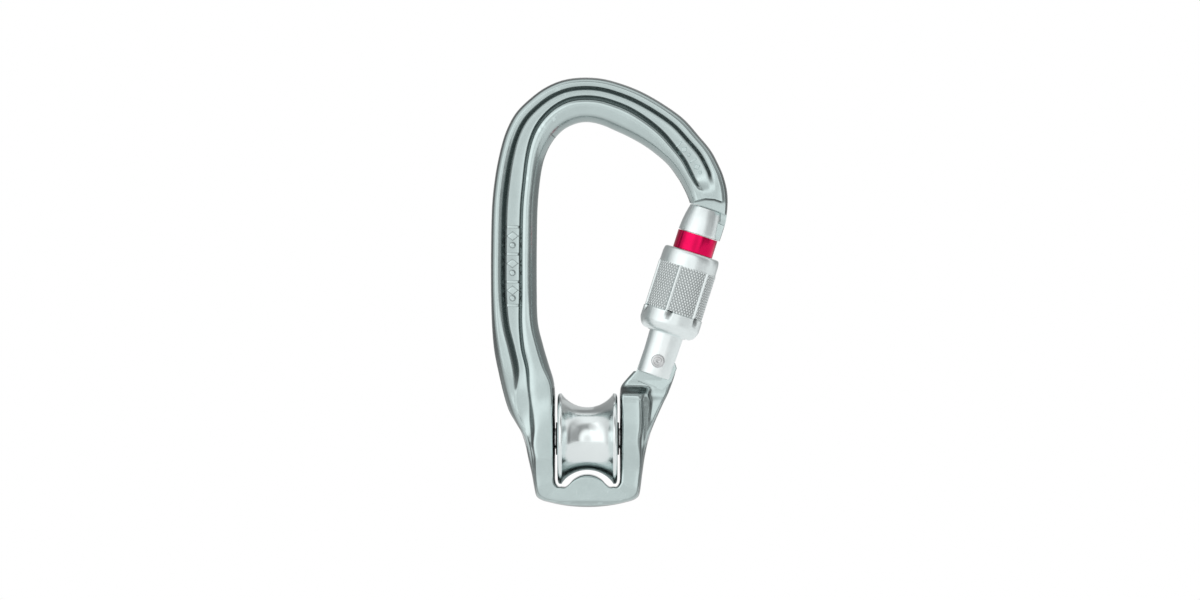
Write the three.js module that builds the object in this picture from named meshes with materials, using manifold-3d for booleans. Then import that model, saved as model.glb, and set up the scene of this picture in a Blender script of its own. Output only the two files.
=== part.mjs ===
// A rope pulley built into a screw-lock carabiner body, in millimetres.
//
// It hangs as it does in use. +Z is up, +X points from the spine to the gate, and the rope runs
// over the sheave along Y. The origin is the inside of the top bend, where the anchor bears.
// "Front" is -Y. The body is symmetric about the XZ plane.

import * as THREE from 'three';
import { mergeVertices } from 'three/addons/utils/BufferGeometryUtils.js';
import Module from 'manifold-3d';

const wasm = await Module();
wasm.setup();

// ---------------------------------------------------------------- driving dimensions

const running = 0.15;                    // gap between pieces that turn on each other
const seat = 0.3;                        // gap between pieces that are pressed or riveted together
const beyond = 30;                       // reach of a cutting tool that goes right through a piece

const axleHeight = -90.3;                // Z of the sheave's axis
const sheave = { radius: 13, rootRadius: 9, halfWidth: 8.55, grooveHalfWidth: 7.4 };
const forkHalfGap = 9.2;
const axleRadius = 3;
const bearing = { bore: 3.15, outside: 6.5, width: 5, face: 8.25, pitchRadius: 4.8, ballRadius: 1.05 };
const ballCount = 7;
const ballTrack = { depth: 0.3, halfWidth: 0.7 };
const cage = { halfThickness: 0.3, halfWidth: 1.6 };
const seal = { width: 0.4, inset: 0.05, gap: 0.45 };
const sheaveDish = { outside: 10.6, inside: 9.6, depth: 0.35 };
const spacerOutside = 4.2;
const washer = { outside: 4.65, inner: 8.4, outer: 9.0 };

const gatePivot = { x: 20.1, z: -68.1 };
const gateTilt = THREE.MathUtils.degToRad(17.7);
const tongueHalfThickness = 2.3;         // the lug of the body that stands in the gate's slot
const slotHalfWidth = 2.6;
const rivetRadius = 1.5;
const cam = { radius: 4.6, rise: 2.6 };  // lug radius on the gate's axis, and its growth per radian

// Heights along the gate, measured from its pivot.
const gate = {
  foot: -4.35, slotTop: 8, boreTop: 25.5, bandLow: 32.5, bandHigh: 37.7, tip: 45.85,
  footRadius: 5.4, radius: 5.55, bandRadius: 5.85, tipRadius: 4.7, boreRadius: 2.6,
  shoulderLow: 39.5, shoulderHigh: 42.3, bandGap: 0.2,
};
const heel = { flat: 4.95, flatTop: 4, rim: 5.7, top: 7.4 };   // scoop in the tube's outer side
const key = { low: 38.2, waist: 43, halfWidth: 2.9, neckHalfWidth: 1.4, reach: -2.2, end: 12 };
const noseRadius = 46.2;                 // end face of the nose, about the gate's pivot
const tipRoom = { inside: 34, from: -16, to: 14 };             // where the nose is cut for the tip

// The sleeve at rest, unscrewed to the bottom of its travel.
const sleeve = {
  low: 8.2, collarTop: 14.6, knurlTop: 27.7, high: 32.5, stepHeight: 24,
  footRadius: 6.75, collarRadius: 8.7, knurlRadius: 8.45, shoulderRadius: 8.25, mouthRadius: 7.35,
  bore: 5.85, counterbore: 6.95, ridges: 6, ridgeRadius: 8.75, ridgeHalfWidth: 0.4, firstRidge: -105,
};
const frictionRing = { inside: 6.0, outside: 6.65, low: 24.4, high: 26.2 };
const plunger = { noseRadius: 1.2, radius: 2.2, collarTop: 10.4, pinRadius: 1.3, top: 15.5 };

// The spring is drawn as short as it gets, with the gate wide open.
const spring = { meanRadius: 1.9, wire: 0.33, low: 12.1, high: 24.9, turns: 8 };

// ---------------------------------------------------------------- materials

function metal(color, roughness, metalness = 1) {
  return new THREE.MeshStandardMaterial({ color, roughness, metalness });
}

const finishes = {
  forged: () => metal(0x9fabab, 0.38),
  polished: () => metal(0xd5dbdc, 0.12),
  frosted: () => metal(0xd0d6d6, 0.42),
  anodisedRed: () => metal(0xd8123c, 0.3, 0.8),
  steel: () => metal(0xb4b8ba, 0.25),
  springSteel: () => metal(0x8d9194, 0.3),
  bronze: () => metal(0xb08a55, 0.4),
  blackRubber: () => metal(0x16181a, 0.7, 0),
  blackPolymer: () => metal(0x202224, 0.5, 0),
};

// ---------------------------------------------------------------- solids

// Merges shared vertices, drops the flat triangles at a lathe's poles, and turns the faces outward.
function closed(geometry) {
  geometry.deleteAttribute('normal');
  geometry.deleteAttribute('uv');
  const merged = mergeVertices(geometry, 1e-4);
  const index = merged.index.array;
  const corners = [0, 1, 2].map(() => new THREE.Vector3());
  const kept = [];
  let volume = 0;
  for (let i = 0; i < index.length; i += 3) {
    const [a, b, c] = index.slice(i, i + 3);
    if (a === b || b === c || c === a) continue;
    kept.push([a, b, c]);
    [a, b, c].forEach((v, k) => corners[k].fromBufferAttribute(merged.attributes.position, v));
    volume += corners[0].dot(corners[1].cross(corners[2]));
  }
  const triangles = volume < 0 ? kept.map(([a, b, c]) => [a, c, b]) : kept;
  merged.setIndex(triangles.flat());
  return merged;
}

function toSolid(geometry) {
  const body = closed(geometry);
  return new wasm.Manifold(new wasm.Mesh({
    numProp: 3,
    vertProperties: new Float32Array(body.attributes.position.array),
    triVerts: new Uint32Array(body.index.array),
  }));
}

function fromSolid(solid) {
  const mesh = solid.getMesh();
  const geometry = new THREE.BufferGeometry();
  geometry.setAttribute('position', new THREE.BufferAttribute(mesh.vertProperties, 3));
  geometry.setIndex(new THREE.BufferAttribute(mesh.triVerts, 1));
  return geometry;
}

const unite = (...solids) => solids.reduce((a, b) => a.add(b));
const cut = (solid, ...tools) => tools.reduce((a, b) => a.subtract(b), solid);

// A body of revolution about Z from [radius, height] points, closed through the axis or on itself.
function turned(points, segments = 32) {
  const profile = points.map(([radius, height]) => new THREE.Vector2(radius, height));
  return new THREE.LatheGeometry(profile, segments).rotateX(Math.PI / 2);
}

// A ring about Z between two radii and two heights.
function ring(inside, outside, low, high, segments = 24) {
  return turned([[inside, low], [outside, low], [outside, high], [inside, high], [inside, low]], segments);
}

function rod(radius, low, high, segments = 24) {
  return turned([[0, low], [radius, low], [radius, high], [0, high]], segments);
}

const alongX = (geometry) => geometry.rotateY(Math.PI / 2);

// A plate of an XZ outline, centred on the XZ plane.
function plate(shape, halfThickness, curveSegments = 12) {
  const options = { depth: 2 * halfThickness, bevelEnabled: false, curveSegments };
  return new THREE.ExtrudeGeometry(shape, options).rotateX(Math.PI / 2).translate(0, halfThickness, 0);
}

const outlineOf = (...points) => new THREE.Shape(points.map(([x, z]) => new THREE.Vector2(x, z)));

// Part of a flat ring about the gate's pivot, between two radii, across the gate from x0 to x1.
function sectorAboutPivot(inside, outside, x0, x1, halfThickness) {
  const from = Math.acos(x1 / outside);
  const to = Math.acos(x0 / outside);
  const shape = new THREE.Shape();
  shape.absarc(0, 0, outside, from, to, false);
  shape.absarc(0, 0, inside, to, from, true);
  return plate(shape, halfThickness, 10);
}

const gateMatrix = new THREE.Matrix4()
  .makeRotationY(gateTilt)
  .setPosition(gatePivot.x, 0, gatePivot.z);

const onGate = (geometry) => geometry.applyMatrix4(gateMatrix);

function part(name, geometry, finish) {
  const mesh = new THREE.Mesh(closed(geometry), finishes[finish]());
  mesh.name = name;
  return mesh;
}

// ---------------------------------------------------------------- the forged body

// Half of a cross-section, as [distance in from the outer edge, height above the mid-plane].
// Every section has the same thirteen rails: the outer edge, its side and rounding, the outer rib
// and its lip, the groove floor's two sides, the inner lip and rib, a fine step, and the inner
// rounding, side and edge. The last distance is the width that the section is drawn for.
const sections = {
  nose: [[0, 0], [0.2, 2.6], [0.8, 4.5], [1.7, 5.1], [3.2, 5.2], [4.5, 5.1], [7, 5], [8, 5], [9.2, 5.1],
    [9.9, 4.8], [10.5, 4.4], [11.6, 2.4], [11.8, 0]],
  grooveEnd: [[0, 0], [0.15, 2.7], [0.7, 4.7], [1.8, 5.4], [3.3, 5.2], [4.4, 4.2], [7.8, 3.5], [8.6, 5.1],
    [9.3, 5.3], [10, 5], [10.8, 4.5], [11.9, 2.4], [12.2, 0]],
  shoulder: [[0, 0], [0.15, 2.8], [0.7, 4.9], [1.8, 5.5], [3, 5.2], [4, 3.4], [8, 3.2], [8.9, 5.1],
    [9.6, 5.4], [10.3, 5.1], [11.1, 4.6], [12.3, 2.4], [12.6, 0]],
  bend: [[0, 0], [0.1, 2.9], [0.6, 4.9], [1.5, 5.5], [2.6, 5.2], [3.5, 3.2], [5.2, 2.9], [6.5, 5.2],
    [7.6, 5.5], [8.9, 5.2], [10.6, 4.7], [12.4, 2.4], [12.7, 0]],
  spine: [[0, 0], [0.1, 2.9], [0.6, 4.9], [1.6, 5.6], [2.9, 5.2], [4.2, 2.7], [8.1, 2.8], [8.9, 5.1],
    [9.9, 5.5], [10.9, 5.2], [11.6, 4.7], [12.9, 2.4], [13.1, 0]],
  spineFoot: [[0, 0], [0.5, 2.6], [1.4, 4.7], [1.9, 5.3], [4.4, 5.2], [6, 3.3], [7.8, 3.3], [8.8, 5.4],
    [10, 5.8], [12, 5.8], [12.7, 5.3], [14, 2.8], [14.3, 0]],
  webTop: [[0, 0], [0.6, 2.3], [1.5, 4.2], [1.9, 4.6], [4.2, 4.7], [5.4, 4.4], [7.6, 4.5], [8.2, 5.7],
    [9.2, 6.1], [13, 6.2], [13.7, 5.8], [14.5, 3.2], [14.7, 0]],
  web: [[0, 0], [0.5, 2.1], [1.3, 3.8], [1.7, 4.2], [2.2, 4.4], [2.8, 4.25], [6.3, 4.4], [6.9, 5.7],
    [7.9, 6.2], [12.5, 6.4], [13.2, 6.1], [13.8, 4.2], [14, 0]],
  webFoot: [[0, 0], [0.15, 2], [0.5, 3.3], [0.9, 3.8], [1.4, 4.1], [1.7, 3.9], [3.2, 4.3], [4.6, 6.9],
    [5.6, 7.2], [9.1, 7.2], [9.7, 6.8], [10.15, 4.8], [10.3, 0]],
  arm: [[0, 0], [0.15, 2], [0.5, 3.3], [0.8, 4], [1.1, 4.6], [1.4, 5.2], [1.7, 5.8], [2.2, 6.9],
    [3.1, 7.1], [6.9, 7.1], [7.4, 6.8], [7.85, 5.4], [8, 0]],
  armFoot: [[0, 0], [0.1, 2.4], [0.25, 3.9], [0.35, 4.4], [0.45, 4.9], [0.55, 5.3], [0.7, 5.6], [0.9, 6.1],
    [2.2, 6.3], [5.3, 6.3], [5.8, 6.1], [6.2, 5], [6.3, 0]],
  bridge: [[0, 0], [0.1, 2.6], [0.4, 4.3], [0.6, 4.8], [0.8, 5.1], [1, 5.3], [1.2, 5.5], [1.5, 5.8],
    [4, 5.9], [7.2, 5.9], [7.6, 5.7], [7.9, 4.8], [8, 0]],
  gateArm: [[0, 0], [0.1, 2], [0.4, 3.3], [0.8, 3.8], [1.2, 4], [1.8, 4.2], [2.7, 4.7], [3.5, 6.6],
    [4.2, 7], [8.5, 7], [9.1, 6.7], [9.55, 5], [9.7, 0]],
  gateWeb: [[0, 0], [0.1, 1.6], [0.45, 2.7], [0.9, 3], [3.4, 3.2], [3.8, 4.3], [5.6, 4.8], [6.1, 5.9],
    [6.6, 6.4], [10.8, 6.5], [11.3, 6.2], [11.7, 4.4], [11.8, 0]],
  gateNeck: [[0, 0], [0.15, 1.4], [0.5, 2.2], [1, 2.4], [5.2, 2.6], [5.7, 3.6], [6.6, 4.6], [7.6, 5.8],
    [8.6, 6.2], [12.5, 6.2], [13.1, 5.9], [13.6, 3.8], [13.7, 0]],
  tongue: [[0, 0], [0.2, 1.3], [0.7, 2.1], [1.4, 2.3], [4.2, 2.3], [5.4, 2.3], [6.6, 2.3], [8, 2.3],
    [9.6, 2.3], [11.8, 2.3], [12.4, 2.1], [13, 1.3], [13.1, 0]],
};

const mix = (a, b = a, t = 0) => sections[a].map(([d, h], k) => [
  THREE.MathUtils.lerp(d / sections[a].at(-1)[0], sections[b][k][0] / sections[b].at(-1)[0], t),
  THREE.MathUtils.lerp(h, sections[b][k][1], t),
]);

// The body is one strand: from the nose over the top bend, down the spine and one arm of the fork,
// across the bridge and up the other arm to the gate's lug. Each station pairs a point of the outer
// edge with the point of the inner edge across from it: [outer x, outer z, inner x, inner z, section].
const spineSide = [
  [37.8, -34, 28.4, -31, mix('nose')],
  [39.5, -28.5, 29.9, -26.5, mix('nose')],
  [40.1, -23.3, 29.1, -22.9, mix('nose')],
  [39.9, -19.4, 28, -20.1, mix('nose')],
  [39, -15.8, 26.7, -17.6, mix('grooveEnd')],
  [37.9, -13, 25.6, -15.8, mix('grooveEnd', 'shoulder', 0.8)],
  [35.4, -8.2, 23.2, -12.5, mix('shoulder', 'bend', 0.15)],
  [31.9, -3.9, 20.2, -9.7, mix('shoulder', 'bend', 0.35)],
  [27.4, 1.1, 16.3, -6.8, mix('shoulder', 'bend', 0.6)],
  [21.6, 5.3, 11.9, -4.3, mix('shoulder', 'bend', 0.85)],
  [15.6, 8.7, 7.6, -2.3, mix('bend')],
  [9.9, 11, 4.6, -1, mix('bend')],
  [4.2, 12.5, 1.8, -0.2, mix('bend')],
  [-1.5, 12.85, -0.9, 0, mix('bend')],
  [-7, 12.1, -3.6, -0.55, mix('bend')],
  [-12.2, 9.9, -6.2, -1.75, mix('bend', 'spine', 0.1)],
  [-17, 6.3, -8.2, -3.4, mix('bend', 'spine', 0.25)],
  [-20.7, 2.4, -9.9, -5.5, mix('bend', 'spine', 0.45)],
  [-23.3, -2.6, -11.4, -8.2, mix('bend', 'spine', 0.65)],
  [-25, -8.3, -12.7, -12, mix('bend', 'spine', 0.85)],
  [-26.4, -15.5, -13.6, -17.5, mix('spine')],
  [-27.3, -24, -14.2, -25, mix('spine')],
  [-27.6, -36, -14.4, -36, mix('spine')],
  [-27.6, -48, -14.4, -48, mix('spine')],
  [-27.4, -57.5, -14.1, -57, mix('spine', 'spineFoot', 0.4)],
  [-26.8, -65, -12.6, -63.5, mix('spineFoot')],
  [-25.5, -71.7, -11, -69, mix('spineFoot', 'webTop', 0.25)],
  [-24, -78, -9.6, -73.6, mix('webTop', 'web', 0.55)],
  [-22.6, -82.3, -9.2, -77.5, mix('web')],
  [-20.7, -85.6, -9.2, -82, mix('web', 'webFoot', 0.6)],
  [-18.9, -88.7, -9.2, -86.5, mix('webFoot', 'arm', 0.3)],
  [-17.7, -92.5, -9.2, -91, mix('arm')],
  [-16.9, -96.2, -9.2, -95.5, mix('arm')],
  [-15.9, -100.6, -9.2, -99.5, mix('arm', 'armFoot', 0.7)],
  [-15.1, -105, -9.2, -102, mix('armFoot')],
  [-14.5, -106.9, -8.8, -103.3, mix('armFoot', 'bridge', 0.6)],
];

const gateSide = [
  [14.5, -106.9, 8.8, -103.3, mix('armFoot', 'bridge', 0.6)],
  [15.1, -105, 9.2, -102, mix('armFoot')],
  [15.8, -99.6, 9.2, -99, mix('armFoot')],
  [16.5, -95, 9.2, -95, mix('arm', 'armFoot', 0.5)],
  [17.5, -90.6, 9.2, -90.8, mix('arm', 'gateArm', 0.6)],
  [18.7, -87, 9.2, -87, mix('gateArm')],
  [20.2, -83.5, 9.2, -83.2, mix('gateArm', 'gateWeb', 0.5)],
  [21.8, -80, 9.2, -79.8, mix('gateWeb')],
  [22.9, -77.8, 9.25, -77.4, mix('gateNeck')],
  [23.8, -75.6, 9.6, -75.3, mix('tongue')],
  [24.6, -73.4, 11.2, -73.2, mix('tongue')],
  [25.2, -71.4, 13.2, -71, mix('tongue')],
];

// Below the sheave: the bottom edge is one long arc, and the pocket floor rises in a round hump.
const bottomEdge = { z: -109.9, radius: 43.3 };
const pocketFloor = -103.95;
const hump = { z: -106.63, radius: 6.23 };

function bridgeStations() {
  const across = [[-13, -8.2], [-11, -7.3], [-8.7, -6.2], [-6.6, -5.1], [-4.6, -4], [-2.3, -2.1], [0, 0]];
  const half = across.map(([outer, inner]) => {
    const outerZ = bottomEdge.z + bottomEdge.radius - Math.sqrt(bottomEdge.radius ** 2 - outer ** 2);
    const round = hump.radius ** 2 - inner ** 2;
    const humpZ = round > 0 ? hump.z + Math.sqrt(round) : pocketFloor;
    return [outer, outerZ, inner, Math.max(pocketFloor, humpZ), mix('bridge')];
  });
  const mirrored = half.slice(0, -1).reverse().map(
    ([outerX, outerZ, innerX, innerZ, section]) => [-outerX, outerZ, -innerX, innerZ, section],
  );
  return [...half, ...mirrored];
}

// Joins the stations' sections into one skin, with a flat cap at each end.
function strand(stations) {
  const rings = stations.length;
  const railCount = stations[0][4].length;
  const ringSize = 2 * railCount - 2;
  const positions = [];
  for (const [outerX, outerZ, innerX, innerZ, section] of stations) {
    const half = section.map(([across, height]) => [
      THREE.MathUtils.lerp(outerX, innerX, across), height, THREE.MathUtils.lerp(outerZ, innerZ, across),
    ]);
    const front = half.map(([x, y, z]) => [x, -y, z]);
    const back = half.slice(1, -1).reverse();
    positions.push(...front.flat(), ...back.flat());
  }
  const index = [];
  for (let i = 0; i < rings - 1; i += 1) {
    for (let j = 0; j < ringSize; j += 1) {
      const [a, b] = [i * ringSize + j, i * ringSize + (j + 1) % ringSize];
      index.push(a, b, a + ringSize, b, b + ringSize, a + ringSize);
    }
  }
  for (const base of [0, (rings - 1) * ringSize]) {
    for (let j = 0; j < railCount - 1; j += 1) {
      const [f0, f1] = [base + j, base + j + 1];
      const [b0, b1] = [base + (ringSize - j) % ringSize, base + ringSize - j - 1];
      const strip = [f0, b0, f1, f1, b0, b1];
      index.push(...(base === 0 ? strip : strip.reverse()));
    }
  }
  const geometry = new THREE.BufferGeometry();
  geometry.setAttribute('position', new THREE.Float32BufferAttribute(positions, 3));
  geometry.setIndex(index);
  return geometry;
}

// The lug in the gate's slot: straight flanks, and a cam on top that lifts the plunger as the gate
// opens. Drawn in the gate's own axes.
function lugOutline() {
  const shape = new THREE.Shape();
  shape.moveTo(3.8, -8.2);
  shape.lineTo(5.4, -4.5);
  shape.lineTo(5.8, -0.4);
  const last = THREE.MathUtils.degToRad(44);
  const first = THREE.MathUtils.degToRad(-40);
  const steps = 9;
  for (let i = 0; i <= steps; i += 1) {
    const angle = THREE.MathUtils.lerp(first, last, i / steps);
    const radius = cam.radius + Math.max(0, cam.rise * angle);
    shape.lineTo(-radius * Math.sin(angle), radius * Math.cos(angle));
  }
  shape.lineTo(-4.8, 1.6);
  shape.lineTo(-4.9, -3.2);
  shape.lineTo(-5, -7);
  shape.closePath();
  return shape;
}

// The keyed nose that fills the slot in the gate's tip: a wide head under a narrow waist.
function keyRegion(clearance) {
  const head = sectorAboutPivot(
    key.low - clearance, key.waist + clearance, key.reach - clearance, key.end, key.halfWidth + clearance,
  );
  const neck = sectorAboutPivot(
    key.waist - 0.5, noseRadius + 1, key.reach - clearance, key.end, key.neckHalfWidth + clearance,
  );
  return [head, neck];
}

const stations = [...spineSide, ...bridgeStations(), ...gateSide];

function frameSolid() {
  const body = toSolid(strand(stations));
  const { inside, from, to } = tipRoom;
  const room = toSolid(onGate(sectorAboutPivot(inside, noseRadius, from, to, beyond)));
  const keySolid = unite(...keyRegion(0).map((geometry) => toSolid(onGate(geometry))));
  const lug = toSolid(onGate(plate(lugOutline(), tongueHalfThickness)));
  return unite(cut(body, room), body.intersect(keySolid), lug);
}

function axleHole(radius, halfLength) {
  return toSolid(alongX(rod(radius, -halfLength, halfLength)).translate(0, 0, axleHeight));
}

function rivetRod(radius, halfLength, segments = 20) {
  return rod(radius, -halfLength, halfLength, segments).rotateX(Math.PI / 2);
}

function frame(body) {
  const drilled = cut(
    body,
    axleHole(axleRadius + seat, beyond),
    toSolid(onGate(rivetRod(rivetRadius + seat, beyond))),
  );
  return part('frame', fromSolid(drilled), 'forged');
}

// The axle runs through both arms and is dressed flush with their outer sides.
function sheaveAxle(body) {
  const middle = axleHole(axleRadius, forkHalfGap + 0.5);
  const ends = axleHole(axleRadius, beyond).intersect(body);
  return part('sheave_axle', fromSolid(unite(middle, ends)), 'steel');
}

// ---------------------------------------------------------------- the sheave and its bearings

// The rope groove is one arc from lip to lip, through the root at mid-width.
function grooveRadiusAt(x) {
  const depth = sheave.radius - sheave.rootRadius;
  const arc = (sheave.grooveHalfWidth ** 2 + depth ** 2) / (2 * depth);
  return sheave.rootRadius + arc - Math.sqrt(arc ** 2 - x ** 2);
}

function sheaveWheel() {
  const groove = [];
  const steps = 12;
  for (let i = 0; i <= steps; i += 1) {
    const x = THREE.MathUtils.lerp(-sheave.grooveHalfWidth, sheave.grooveHalfWidth, i / steps);
    groove.push([grooveRadiusAt(x), x]);
  }
  const seatRadius = bearing.outside + running;
  const landRadius = seatRadius - 0.8;
  const land = bearing.face - bearing.width - running;
  const dished = sheave.halfWidth - sheaveDish.depth;
  const rim = [[sheave.radius - 0.15, sheave.halfWidth - 0.25], [sheave.radius - 0.8, sheave.halfWidth]];
  const side = [[sheaveDish.outside, sheave.halfWidth], [sheaveDish.inside, dished]];
  const hub = [[seatRadius, dished], [seatRadius, land], [landRadius, land]];
  const half = [...rim, ...side, ...hub];
  const mirrored = half.map(([radius, x]) => [radius, -x]).reverse();
  const profile = [...groove, ...half, ...mirrored, groove[0]];
  return part('sheave', alongX(turned(profile, 40)), 'polished');
}

const ballAngle = (i) => (2 * Math.PI * i) / ballCount;

// The pockets are drilled through the cage from outside, one for each ball.
function bearingCage() {
  const { pitchRadius, ballRadius } = bearing;
  const [inside, outside] = [pitchRadius - cage.halfThickness, pitchRadius + cage.halfThickness];
  let solid = toSolid(ring(inside, outside, -cage.halfWidth, cage.halfWidth, 28));
  for (let i = 0; i < ballCount; i += 1) {
    const pocket = rod(ballRadius + running, pitchRadius - 2, pitchRadius + 2, 12);
    solid = solid.subtract(toSolid(pocket.rotateY(Math.PI / 2).rotateZ(ballAngle(i))));
  }
  return fromSolid(solid);
}

function bearingBall(name, i) {
  const spot = [bearing.pitchRadius * Math.cos(ballAngle(i)), bearing.pitchRadius * Math.sin(ballAngle(i))];
  const ball = new THREE.SphereGeometry(bearing.ballRadius, 8, 6).translate(...spot, 0);
  return part(`ball_${name}_${i + 1}`, alongX(ball), 'steel');
}

// The two rings, each with a track for the balls in the face that it turns to them.
function bearingRings(name, innerTrack, outerTrack) {
  const half = bearing.width / 2;
  const { depth, halfWidth } = ballTrack;
  const raceway = [[depth, -half], [depth, -halfWidth], [0, 0], [depth, halfWidth], [depth, half]];
  const innerRing = [[bearing.bore, -half], ...raceway.map(([rise, x]) => [innerTrack + rise, x]),
    [bearing.bore, half], [bearing.bore, -half]];
  const outerRing = [[bearing.outside, half], ...raceway.map(([rise, x]) => [outerTrack - rise, -x]),
    [bearing.outside, -half], [bearing.outside, half]];
  return [
    part(`bearing_inner_ring_${name}`, alongX(turned(innerRing, 24)), 'steel'),
    part(`bearing_outer_ring_${name}`, alongX(turned(outerRing, 28)), 'steel'),
  ];
}

// One sealed ball bearing. side is -1 or 1 along X.
function bearingPieces(side) {
  const name = side < 0 ? 'left' : 'right';
  const half = bearing.width / 2;
  const innerTrack = bearing.pitchRadius - bearing.ballRadius - running;
  const outerTrack = bearing.pitchRadius + bearing.ballRadius + running;
  const sealAt = (low) => alongX(ring(innerTrack + seal.gap, outerTrack - seal.gap, low, low + seal.width));
  const sealLows = [half - seal.inset - seal.width, seal.inset - half];
  const [outerLow, innerLow] = side < 0 ? sealLows.reverse() : sealLows;
  const group = new THREE.Group();
  group.position.x = side * (bearing.face - half);
  group.add(
    ...bearingRings(name, innerTrack, outerTrack),
    part(`bearing_cage_${name}`, alongX(bearingCage()), 'bronze'),
    part(`bearing_seal_${name}_outer`, sealAt(outerLow), 'blackRubber'),
    part(`bearing_seal_${name}_inner`, sealAt(innerLow), 'blackRubber'),
  );
  for (let i = 0; i < ballCount; i += 1) group.add(bearingBall(name, i));
  return group;
}

function thrustWasher(side) {
  const name = side < 0 ? 'left' : 'right';
  const geometry = ring(axleRadius + running, washer.outside, washer.inner, washer.outer);
  const mesh = part(`thrust_washer_${name}`, alongX(geometry), 'blackPolymer');
  mesh.rotation.y = side < 0 ? Math.PI : 0;
  return mesh;
}

function bearingSpacer() {
  const halfLength = bearing.face - bearing.width - running;
  return part('bearing_spacer', alongX(ring(bearing.bore, spacerOutside, -halfLength, halfLength)), 'steel');
}

function sheaveGroup() {
  const group = new THREE.Group();
  group.position.z = axleHeight;
  group.add(sheaveWheel(), bearingSpacer());
  for (const side of [-1, 1]) group.add(bearingPieces(side), thrustWasher(side));
  return group;
}

// ---------------------------------------------------------------- the gate

// The tip is part of a ball about the gate's pivot, so it clears the nose all the way round.
function gateBody() {
  const dome = (radius) => [radius, Math.sqrt(gate.tip ** 2 - radius ** 2)];
  const bandSeat = gate.bandRadius - 0.8;
  const outside = [
    [0, gate.foot], [gate.footRadius - 0.3, gate.foot], [gate.footRadius, gate.foot + 0.3],
    [gate.radius, gate.slotTop], [gate.radius, gate.bandLow - gate.bandGap],
    [bandSeat, gate.bandLow - gate.bandGap], [bandSeat, gate.bandHigh + gate.bandGap],
    [gate.bandRadius, gate.bandHigh + gate.bandGap], [gate.bandRadius - 0.1, gate.shoulderLow],
    [gate.bandRadius - 0.4, gate.shoulderHigh], dome(gate.tipRadius), dome(gate.tipRadius / 2), [0, gate.tip],
  ];
  const slot = outlineOf([-beyond, gate.foot - 3], [beyond, gate.foot - 3], [beyond, gate.slotTop],
    [-beyond, gate.slotTop]);
  const heelScoop = outlineOf([heel.flat, gate.foot - 3], [beyond, gate.foot - 3], [beyond, heel.top],
    [heel.rim, heel.top], [heel.flat, heel.flatTop]);
  const solid = cut(
    toSolid(turned(outside, 36)),
    toSolid(plate(slot, slotHalfWidth)),
    toSolid(plate(heelScoop, beyond)),
    toSolid(rod(gate.boreRadius, gate.slotTop - 1, gate.boreTop)),
    toSolid(rivetRod(rivetRadius + seat, beyond)),
    ...keyRegion(seat).map(toSolid),
  );
  return part('gate_body', fromSolid(solid), 'frosted');
}

function indicatorBand() {
  const geometry = ring(gate.bandRadius - 0.5, gate.bandRadius, gate.bandLow, gate.bandHigh, 36);
  return part('indicator_band', geometry, 'anodisedRed');
}

// Shank and two domed heads, which stand just off the gate's flanks.
function gateRivet() {
  const face = gate.footRadius + running;
  const head = [[rivetRadius, face], [1.9, face], [1.7, face + 0.3], [0.9, face + 0.45], [0, face + 0.5]];
  const profile = [...head.map(([r, h]) => [r, -h]).reverse(), ...head];
  return part('gate_rivet', turned(profile, 20).rotateX(Math.PI / 2), 'steel');
}

function gatePlunger() {
  const gap = 0.45;
  const low = cam.radius + gap;
  const profile = [[0, low], [0.7, low + 0.22], [plunger.noseRadius, low + plunger.noseRadius],
    [plunger.radius, low + 2.1], [plunger.radius, plunger.collarTop], [plunger.pinRadius, plunger.collarTop],
    [plunger.pinRadius, plunger.top], [0, plunger.top]];
  return part('gate_plunger', turned(profile, 16), 'steel');
}

class Helix extends THREE.Curve {
  getPoint(t, target = new THREE.Vector3()) {
    const angle = 2 * Math.PI * spring.turns * t;
    const [x, y] = [spring.meanRadius * Math.cos(angle), spring.meanRadius * Math.sin(angle)];
    return target.set(x, y, THREE.MathUtils.lerp(spring.low, spring.high, t));
  }
}

function gateSpring() {
  const wire = new THREE.Shape();
  wire.absarc(0, 0, spring.wire, 0, 2 * Math.PI);
  const options = { steps: 10 * spring.turns, extrudePath: new Helix(), curveSegments: 3 };
  return part('gate_spring', new THREE.ExtrudeGeometry(wire, options), 'springSteel');
}

function lockSleeve() {
  const s = sleeve;
  const profile = [
    [s.bore, s.low], [s.footRadius, s.low], [s.footRadius + 1.3, s.low + 0.5], [s.collarRadius, s.low + 2],
    [s.collarRadius, s.collarTop - 0.4], [s.knurlRadius, s.collarTop], [s.knurlRadius, s.knurlTop],
    [s.shoulderRadius, s.knurlTop + 0.3], [s.shoulderRadius, s.high - 1.6],
    [s.shoulderRadius - 0.3, s.high - 0.6], [s.mouthRadius, s.high], [s.counterbore, s.high],
    [s.counterbore, s.stepHeight], [s.bore, s.stepHeight], [s.bore, s.low],
  ];
  const ridge = () => new THREE.BoxGeometry(1, 2 * s.ridgeHalfWidth, s.knurlTop - s.collarTop + 0.6)
    .translate(s.ridgeRadius - 0.5, 0, (s.knurlTop + s.collarTop) / 2);
  let solid = toSolid(turned(profile, 36));
  for (let i = 0; i < s.ridges; i += 1) {
    const angle = THREE.MathUtils.degToRad(s.firstRidge + (360 * i) / s.ridges);
    solid = solid.add(toSolid(ridge().rotateZ(angle)));
  }
  return part('lock_sleeve', fromSolid(solid), 'frosted');
}

function sleeveFrictionRing() {
  const { inside, outside, low, high } = frictionRing;
  return part('sleeve_friction_ring', ring(inside, outside, low, high, 28), 'blackPolymer');
}

function gateGroup() {
  const group = new THREE.Group();
  group.position.set(gatePivot.x, 0, gatePivot.z);
  group.rotation.y = gateTilt;
  group.add(
    gateBody(), indicatorBand(), gateRivet(), gatePlunger(), gateSpring(), lockSleeve(), sleeveFrictionRing(),
  );
  return group;
}

// ---------------------------------------------------------------- the assembly

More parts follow.
